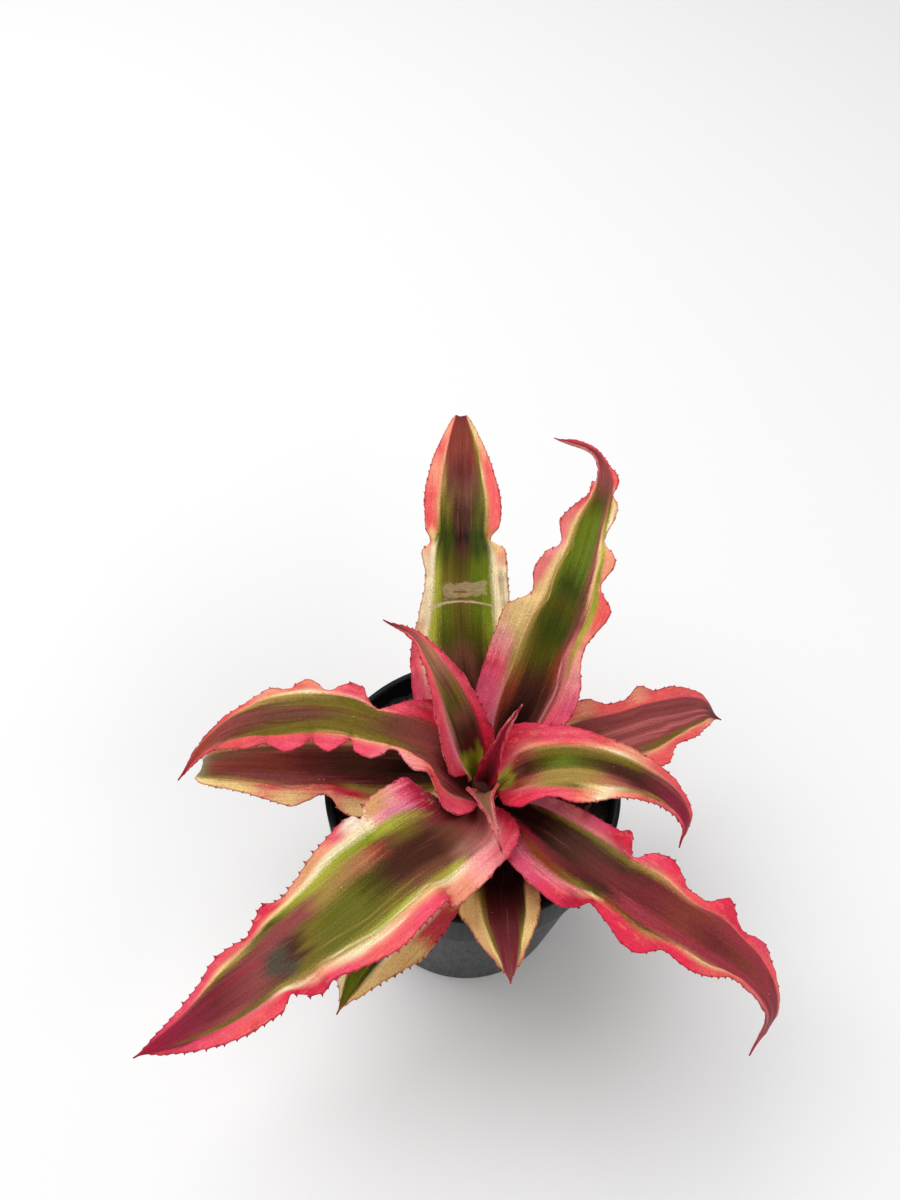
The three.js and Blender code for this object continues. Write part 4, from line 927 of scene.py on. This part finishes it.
def leaf_material(name, paint):
    """Waxy skin in bands of colour, with streaks, mottled margins, pale specks and fine grooves."""
    material, tree, shader = new_material(name)
    blade = attribute(tree, "blade", "Vector")
    along = attribute(tree, "along")
    band = attribute(tree, "band")
    inset = attribute(tree, "inset")
    under = attribute(tree, "under")
    tooth = attribute(tree, "tooth")

    streaks = clouds(tree, stretch(tree, blade, (0.06, 2.6, 1)), 1, 3, 0.6)
    broad = clouds(tree, stretch(tree, blade, (0.05, 0.7, 1)), 1, 2)
    wander = clouds(tree, stretch(tree, blade, (0.13, 0.12, 1)), 1, 2)
    blotch = clouds(tree, stretch(tree, blade, (0.35, 0.7, 1)), 1, 3, 0.7, 0.1)
    grain = clouds(tree, stretch(tree, blade, (2.1, 4.2, 1)), 1, 2, 0.75)

    shifted = calc(tree, "MULTIPLY_ADD", broad, 0.07, -0.035)
    shifted = calc(tree, "ADD", shifted, calc(tree, "MULTIPLY_ADD", streaks, 0.035, -0.0175))
    shifted = calc(tree, "ADD", shifted, calc(tree, "MULTIPLY_ADD", grain, 0.05, -0.025))
    place = calc(tree, "ADD", along, shifted)
    level = calc(tree, "ABSOLUTE", band)
    level = calc(tree, "ADD", level, calc(tree, "MULTIPLY_ADD", wander, 0.5, -0.25))
    level = calc(tree, "ADD", level, calc(tree, "MULTIPLY_ADD", streaks, 0.4, -0.2))
    level = calc(tree, "ADD", level, calc(tree, "MULTIPLY_ADD", grain, 0.45, -0.225))

    middle = ramp(tree, place, paint["middle"])
    sides = []
    for key in ("left_bands", "right_bands"):
        colour = middle
        for n, stops in enumerate(paint[key]):
            inside = step(tree, level, n + 0.56, n + 1.44)
            colour = mix(tree, inside, colour, ramp(tree, place, stops))
        sides.append(colour)
    colour = mix(tree, calc(tree, "GREATER_THAN", band, 0.0), sides[0], sides[1])

    share = attribute(tree, "share")
    wobble = calc(tree, "MULTIPLY_ADD", wander, 0.1, -0.05)
    for start, end, across, wide, name in paint.get("strokes", ()):
        gap = calc(tree, "ABSOLUTE", calc(tree, "ADD", calc(tree, "SUBTRACT", share, across), wobble))
        line = step(tree, gap, 0.012 + wide * 0.1, 0.004 + wide * 0.02)
        ends = calc(tree, "MULTIPLY", step(tree, place, start, start + 0.06), step(tree, place, end, end - 0.06))
        shown = calc(tree, "MULTIPLY", calc(tree, "MULTIPLY", line, ends), step(tree, streaks, 0.3, 0.6, 0.15, 0.55))
        colour = mix(tree, shown, colour, linear(COLOURS[name]))

    edge = step(tree, level, 3.6, 4.4)
    paler = calc(tree, "MULTIPLY", step(tree, blotch, 0.52, 0.7), calc(tree, "MULTIPLY", edge, 0.28))
    colour = mix(tree, paler, colour, linear(COLOURS["peach"]))
    deeper = calc(tree, "MULTIPLY", step(tree, blotch, 0.48, 0.3), calc(tree, "MULTIPLY", edge, 0.36))
    colour = mix(tree, deeper, colour, (1, 0.55, 0.62, 1), "MULTIPLY")
    light = calc(tree, "ADD", step(tree, streaks, 0.3, 0.72, 0.88, 1.1), step(tree, grain, 0.3, 0.75, -0.2, 0.18))
    colour = add(tree, "ShaderNodeVectorMath", {0: colour, "Scale": light}, operation="SCALE").outputs[0]
    hair = calc(tree, "MULTIPLY", step(tree, streaks, 0.62, 0.72), calc(tree, "MULTIPLY", blotch, 0.25))
    colour = mix(tree, hair, colour, linear(COLOURS["rose"]))
    rim = step(tree, inset, 0.28, 0.0, 0.0, 0.55)
    colour = mix(tree, rim, colour, linear(COLOURS["crimson"]))

    cells = add(tree, "ShaderNodeTexVoronoi", {"Vector": blade, "Scale": 0.42})
    dots = calc(tree, "MULTIPLY", step(tree, cells.outputs["Distance"], 0.055, 0.02),
                calc(tree, "GREATER_THAN", cells.outputs["Color"], 0.72))
    colour = mix(tree, dots, colour, (0.85, 0.8, 0.72, 1))
    pale = calc(tree, "MULTIPLY_ADD", under, 0.45, 0.0)
    colour = mix(tree, pale, colour, linear(COLOURS["silver"]))
    colour = mix(tree, step(tree, tooth, 0.05, 0.5, 0.0, 0.7), colour, linear(COLOURS["crimson"]))
    colour = mix(tree, step(tree, tooth, 0.45, 0.85), colour, linear(COLOURS["umber"]))

    if paint.get("scraped"):
        colour = mix(tree, scrape(tree, blade), colour, (0.62, 0.45, 0.36, 1))
    colour = mix(tree, 1.0, colour, WARMTH, "MULTIPLY")
    tree.links.new(colour, shader.inputs["Base Color"])
    tree.links.new(step(tree, streaks, 0.2, 0.8, 0.34, 0.46), shader.inputs["Roughness"])
    shader.inputs["Specular IOR Level"].default_value = 0.08
    shader.inputs["Subsurface Weight"].default_value = 0.08
    shader.inputs["Subsurface Radius"].default_value = (0.8, 0.35, 0.2)
    shader.inputs["Subsurface Scale"].default_value = 0.0008
    height = calc(tree, "ADD", calc(tree, "MULTIPLY", streaks, 0.7), calc(tree, "MULTIPLY", grain, 0.3))
    bump = add(tree, "ShaderNodeBump", {"Height": height, "Strength": 0.6, "Distance": 0.00018})
    tree.links.new(bump.outputs[0], shader.inputs["Normal"])
    return material


def pot_material():
    """Black moulded plastic, with a soft sheen, faint scuffs and a little dust."""
    material, tree, shader = new_material("pot_finish")
    where = add(tree, "ShaderNodeTexCoord").outputs["Object"]
    cloud = clouds(tree, where, 60, 3, 0.5)
    fine = clouds(tree, where, 1400, 2, 0.6)
    scuff = clouds(tree, stretch(tree, where, (900, 900, 60)), 1, 2, 0.7)
    dust = calc(tree, "MULTIPLY", step(tree, cloud, 0.55, 0.8), step(tree, fine, 0.5, 0.7, 0.0, 0.07))
    colour = mix(tree, step(tree, cloud, 0.3, 0.7), (0.008, 0.0095, 0.0115, 1), (0.01, 0.0118, 0.014, 1))
    colour = mix(tree, dust, colour, (0.09, 0.085, 0.08, 1))
    tree.links.new(colour, shader.inputs["Base Color"])
    tree.links.new(step(tree, scuff, 0.35, 0.7, 0.34, 0.42), shader.inputs["Roughness"])
    shader.inputs["Specular IOR Level"].default_value = 0.13
    bump = add(tree, "ShaderNodeBump", {"Height": fine, "Strength": 0.12, "Distance": 0.0001})
    tree.links.new(bump.outputs[0], shader.inputs["Normal"])
    return material


def soil_material():
    """Moist potting mix: near-black peat, with brown bark and a few fibres."""
    material, tree, shader = new_material("soil_finish")
    where = add(tree, "ShaderNodeTexCoord").outputs["Object"]
    kind = attribute(tree, "kind")
    cloud = clouds(tree, where, 500, 4, 0.6)
    peat = mix(tree, cloud, (0.004, 0.003, 0.0025, 1), (0.026, 0.016, 0.01, 1))
    bark = mix(tree, cloud, (0.05, 0.026, 0.013, 1), (0.17, 0.09, 0.042, 1))
    colour = mix(tree, step(tree, kind, 0.8, 0.9), peat, bark)
    tree.links.new(colour, shader.inputs["Base Color"])
    shader.inputs["Roughness"].default_value = 0.85
    bump = add(tree, "ShaderNodeBump", {"Height": cloud, "Strength": 0.8, "Distance": 0.0004})
    tree.links.new(bump.outputs[0], shader.inputs["Normal"])
    return material


def stem_material():
    """Short stem under dry, fibrous leaf bases, its head darkened as painted shade."""
    material, tree, shader = new_material("stem_finish")
    where = add(tree, "ShaderNodeTexCoord").outputs["Object"]
    fibre = clouds(tree, stretch(tree, where, (2200, 2200, 160)), 1, 3, 0.6)
    colour = mix(tree, fibre, (0.05, 0.026, 0.012, 1), (0.3, 0.19, 0.1, 1))
    height = add(tree, "ShaderNodeSeparateXYZ", {0: where}).outputs[2]
    # Above about 62 mm the head turns dark red-brown: painted shade in the heart of the rosette, under the youngest
    # leaves.
    colour = mix(tree, step(tree, height, 0.062, 0.068), colour, (0.13, 0.035, 0.02, 1))
    tree.links.new(colour, shader.inputs["Base Color"])
    shader.inputs["Roughness"].default_value = 0.75
    bump = add(tree, "ShaderNodeBump", {"Height": fibre, "Strength": 0.7, "Distance": 0.0003})
    tree.links.new(bump.outputs[0], shader.inputs["Normal"])
    return material


# The pot, soil and stem
def inside_radius(height):
    low = BASE_RADIUS - BASE_WALL
    high = RIM_RADIUS - LIP_WIDTH
    return low + (high - low) * (height - BASE_THICKNESS) / (POT_HEIGHT - BASE_THICKNESS)


def round_corners(rows, samples=6):
    """Profile points with each corner rounded: rows are radius, height and corner size."""
    points = [np.array(rows[0][:2], float)]
    for before, corner, after in zip(rows[:-2], rows[1:-1], rows[2:]):
        p = np.array(corner[:2], float)
        back = np.array(before[:2], float) - p
        on = np.array(after[:2], float) - p
        start = p + back / np.linalg.norm(back) * corner[2]
        end = p + on / np.linalg.norm(on) * corner[2]
        for t in np.linspace(0, 1, samples):
            points.append((1 - t) ** 2 * start + 2 * t * (1 - t) * p + t**2 * end)
    points.append(np.array(rows[-1][:2], float))
    return np.array(points)


def turned(profile, sides):
    """Points and faces of a profile turned round +Z, from the axis back to the axis."""
    turn = np.linspace(0, 2 * math.pi, sides, endpoint=False)
    ring = profile[1:-1]
    points = [(0, 0, profile[0][1])]
    for radius, height in ring:
        points.extend(zip(radius * np.cos(turn), radius * np.sin(turn), np.full(sides, height)))
    points.append((0, 0, profile[-1][1]))
    faces = []
    last = len(points) - 1
    for n in range(sides):
        after = (n + 1) % sides
        faces.append((0, 1 + after, 1 + n))
        for k in range(len(ring) - 1):
            a, b = 1 + k * sides, 1 + (k + 1) * sides
            faces.append((a + n, a + after, b + after, b + n))
        top = 1 + (len(ring) - 1) * sides
        faces.append((top + n, top + after, last))
    return np.array(points), faces


def build_pot():
    band_foot = POT_HEIGHT - BAND_HEIGHT
    band_radius = RIM_RADIUS - BAND_TOP_SLOPE
    profile = round_corners([
        (0, 0, 0),
        (BASE_RADIUS, 0, 0.8),
        (band_radius - BAND_STEP, band_foot, 0.5),
        (band_radius, band_foot, 0.45),
        (RIM_RADIUS, POT_HEIGHT, 0.7),
        (inside_radius(POT_HEIGHT), POT_HEIGHT, 0.7),
        (inside_radius(BASE_THICKNESS), BASE_THICKNESS, 1.6),
        (0, BASE_THICKNESS, 0),
    ])
    points, faces = turned(profile, 160)
    pot = make_piece("pot_shell", points, faces, pot_material(), "pot")
    for n in range(DRAIN_COUNT):
        turn = (n + 0.5) / DRAIN_COUNT * 2 * math.pi
        place = (DRAIN_RING * math.cos(turn) * METRE, DRAIN_RING * math.sin(turn) * METRE, 0)
        bpy.ops.mesh.primitive_cylinder_add(vertices=40, radius=DRAIN_RADIUS * METRE, depth=0.01, location=place)
        drain = bpy.context.object
        cut = pot.modifiers.new("drain", "BOOLEAN")
        cut.object = drain
        cut.solver = "EXACT"
        bpy.context.view_layer.objects.active = pot
        bpy.ops.object.modifier_apply(modifier=cut.name)
        bpy.data.objects.remove(drain)
    sharp = math.radians(40)
    pot.data.set_sharp_from_angle(angle=sharp)
    return pot


def lump(x, y):
    """Low lumps in the soil's surface, from a broad wave and a finer one."""
    return SOIL_LUMP * (np.sin(0.43 * x + 1.3) * np.cos(0.37 * y) + np.sin(0.81 * y + 0.62 * x) / 2)


def build_soil():
    """A rough surface of packed crumbs, with loose crumbs and bark chips lying in it."""
    random = np.random.default_rng(SEED)
    sides, rings = 200, 64
    turn = np.linspace(0, 2 * math.pi, sides, endpoint=False)
    wall = inside_radius(SOIL_TOP) + 0.1
    foot = BASE_THICKNESS + 0.3
    points = [(0, 0, foot)]
    for radius, height in ((inside_radius(foot) - 0.2, foot), (inside_radius(SOIL_TOP - 4) - 0.2, SOIL_TOP - 4)):
        points.extend((radius * math.cos(t), radius * math.sin(t), height) for t in turn)
    for k in range(rings):
        radius = wall * (1 - k / rings)
        for t in turn:
            x, y = radius * math.cos(t), radius * math.sin(t)
            rough = noise.fractal(Vector((x, y, 0)) * 0.9, 0.7, 2.1, 4)
            points.append((x, y, SOIL_TOP + 0.8 * lump(x, y) + 0.7 * rough - 0.4))
    points.append((0, 0, SOIL_TOP))
    faces = []
    last = len(points) - 1
    for n in range(sides):
        after = (n + 1) % sides
        faces.append((0, 1 + after, 1 + n))
        for k in range(rings + 1):
            a, b = 1 + k * sides, 1 + (k + 1) * sides
            faces.append((a + n, a + after, b + after, b + n))
        top = 1 + (rings + 1) * sides
        faces.append((top + n, top + after, last))
    kinds = [0.0] * len(points)

    bpy.ops.mesh.primitive_ico_sphere_add(subdivisions=2, radius=1)
    ball = bpy.context.object
    ball_points = np.array([v.co[:] for v in ball.data.vertices])
    ball_faces = [tuple(p.vertices) for p in ball.data.polygons]
    bpy.data.objects.remove(ball)
    for n in range(1000):
        radius = (wall - 1) * math.sqrt(random.random())
        angle = random.random() * 2 * math.pi
        x, y = radius * math.cos(angle), radius * math.sin(angle)
        chip = n % 9 == 0
        size = 0.35 + 0.75 * random.random() ** 2
        shape = np.array([1, 0.5, 0.3]) * 1.7 * size if chip else size * (0.7 + 0.6 * random.random(3))
        lean = Matrix.Rotation(random.random() * 6, 3, "Z") @ Matrix.Rotation(random.random() * 0.9, 3, "X")
        dents = 1 + 0.35 * np.sin(ball_points @ (random.random((3, 3)) * 6 - 3) + random.random(3) * 6).mean(1)
        crumb = (ball_points * dents[:, None] * shape) @ np.array(lean).T
        height = SOIL_TOP + 0.8 * lump(x, y) - 0.35 + 0.25 * size
        first = len(points)
        points.extend((crumb + (x, y, height)).tolist())
        faces.extend(tuple(first + v for v in face) for face in ball_faces)
        kinds.extend([1.0 if chip else 0.4 * random.random()] * len(ball_points))
    return make_piece("soil_crumbs", points, faces, soil_material(), "soil", {"kind": kinds})


def build_stem():
    """A tapered stem wrapped in the dry bases of older leaves."""
    foot, head = np.array(STEM_FOOT, float), np.array(STEM_HEAD, float)
    length = np.linalg.norm(head - foot)
    sides, rings = 72, 90
    upright = Vector((0, 0, 1)).rotation_difference(Vector(head - foot)).to_matrix()
    rows = [(0, 0, 0)]
    for k in range(rings + 1):
        f = k / rings
        for n in range(sides):
            turn = 2 * math.pi * n / sides
            radius = STEM_FOOT_RADIUS + (STEM_HEAD_RADIUS - STEM_FOOT_RADIUS) * f
            scale = (f * length / 3.1 + turn / (2 * math.pi) * 2 + 0.12 * math.sin(3 * turn)) % 1
            radius += 0.55 * (1 - scale) ** 2 + 0.08 * math.sin(23 * turn + 3 * f)
            rows.append((radius * math.cos(turn), radius * math.sin(turn), f * length))
    rows.append((0, 0, length))
    points = np.array(rows) @ np.array(upright).T + foot
    faces = []
    last = len(rows) - 1
    for n in range(sides):
        after = (n + 1) % sides
        faces.append((0, 1 + after, 1 + n))
        for k in range(rings):
            a, b = 1 + k * sides, 1 + (k + 1) * sides
            faces.append((a + n, a + after, b + after, b + n))
        faces.append((1 + rings * sides + n, 1 + rings * sides + after, last))
    return make_piece("stem_sheaths", points, faces, stem_material(), "stem")


# Floor, lights and camera
def build_stage():
    bpy.ops.mesh.primitive_plane_add(size=6)
    floor = bpy.context.object
    floor.name = "floor"
    material, tree, shader = new_material("floor_finish")
    shader.inputs["Base Color"].default_value = (0.95, 0.95, 0.95, 1)
    shader.inputs["Roughness"].default_value = 0.9
    floor.data.materials.append(material)
    world = bpy.data.worlds.new("soft_white")
    world.use_nodes = True
    world.node_tree.nodes["Background"].inputs[0].default_value = (1, 1, 1, 1)
    world.node_tree.nodes["Background"].inputs[1].default_value = 0.36
    bpy.context.scene.world = world
    bpy.context.scene.view_settings.view_transform = "Standard"


def add_light(name, place, target, size, power):
    lamp = bpy.data.lights.new(name, "AREA")
    lamp.shape = "DISK"
    lamp.size = size
    lamp.energy = power
    light = bpy.data.objects.new(name, lamp)
    light.location = place
    light.rotation_euler = (Vector(target) - Vector(place)).to_track_quat("-Z", "Y").to_euler()
    bpy.context.scene.collection.objects.link(light)


def add_camera():
    """The photograph's view: from the front, 52.5 degrees down, turned a little clockwise."""
    pitch, roll = math.radians(52.5), math.radians(2.5)
    forward = Vector((0, math.cos(pitch), -math.sin(pitch)))
    level = Vector((1, 0, 0))
    over = level.cross(forward)
    right = level * math.cos(roll) + over * math.sin(roll)
    up = over * math.cos(roll) - level * math.sin(roll)
    lens = bpy.data.cameras.new("camera")
    lens.sensor_width = 36
    lens.lens = 39
    lens.clip_start = 0.01
    camera = bpy.data.objects.new("camera", lens)
    camera.matrix_world = Matrix((right, up, -forward)).transposed().to_4x4()
    camera.location = Vector((-7.3, -152.6, 327.3)) * METRE
    bpy.context.scene.collection.objects.link(camera)
    bpy.context.scene.camera = camera


build_pot()
build_soil()
build_stem()
for order, leaf_name in enumerate(LEAVES):
    build_leaf(leaf_name, order)
build_stage()
add_light("key", (-0.35, 0.25, 0.9), (0, 0, 0.08), 1.0, 7.5)
add_light("fill", (0.5, -0.5, 0.6), (0, 0, 0.08), 0.7, 2.2)
add_camera()
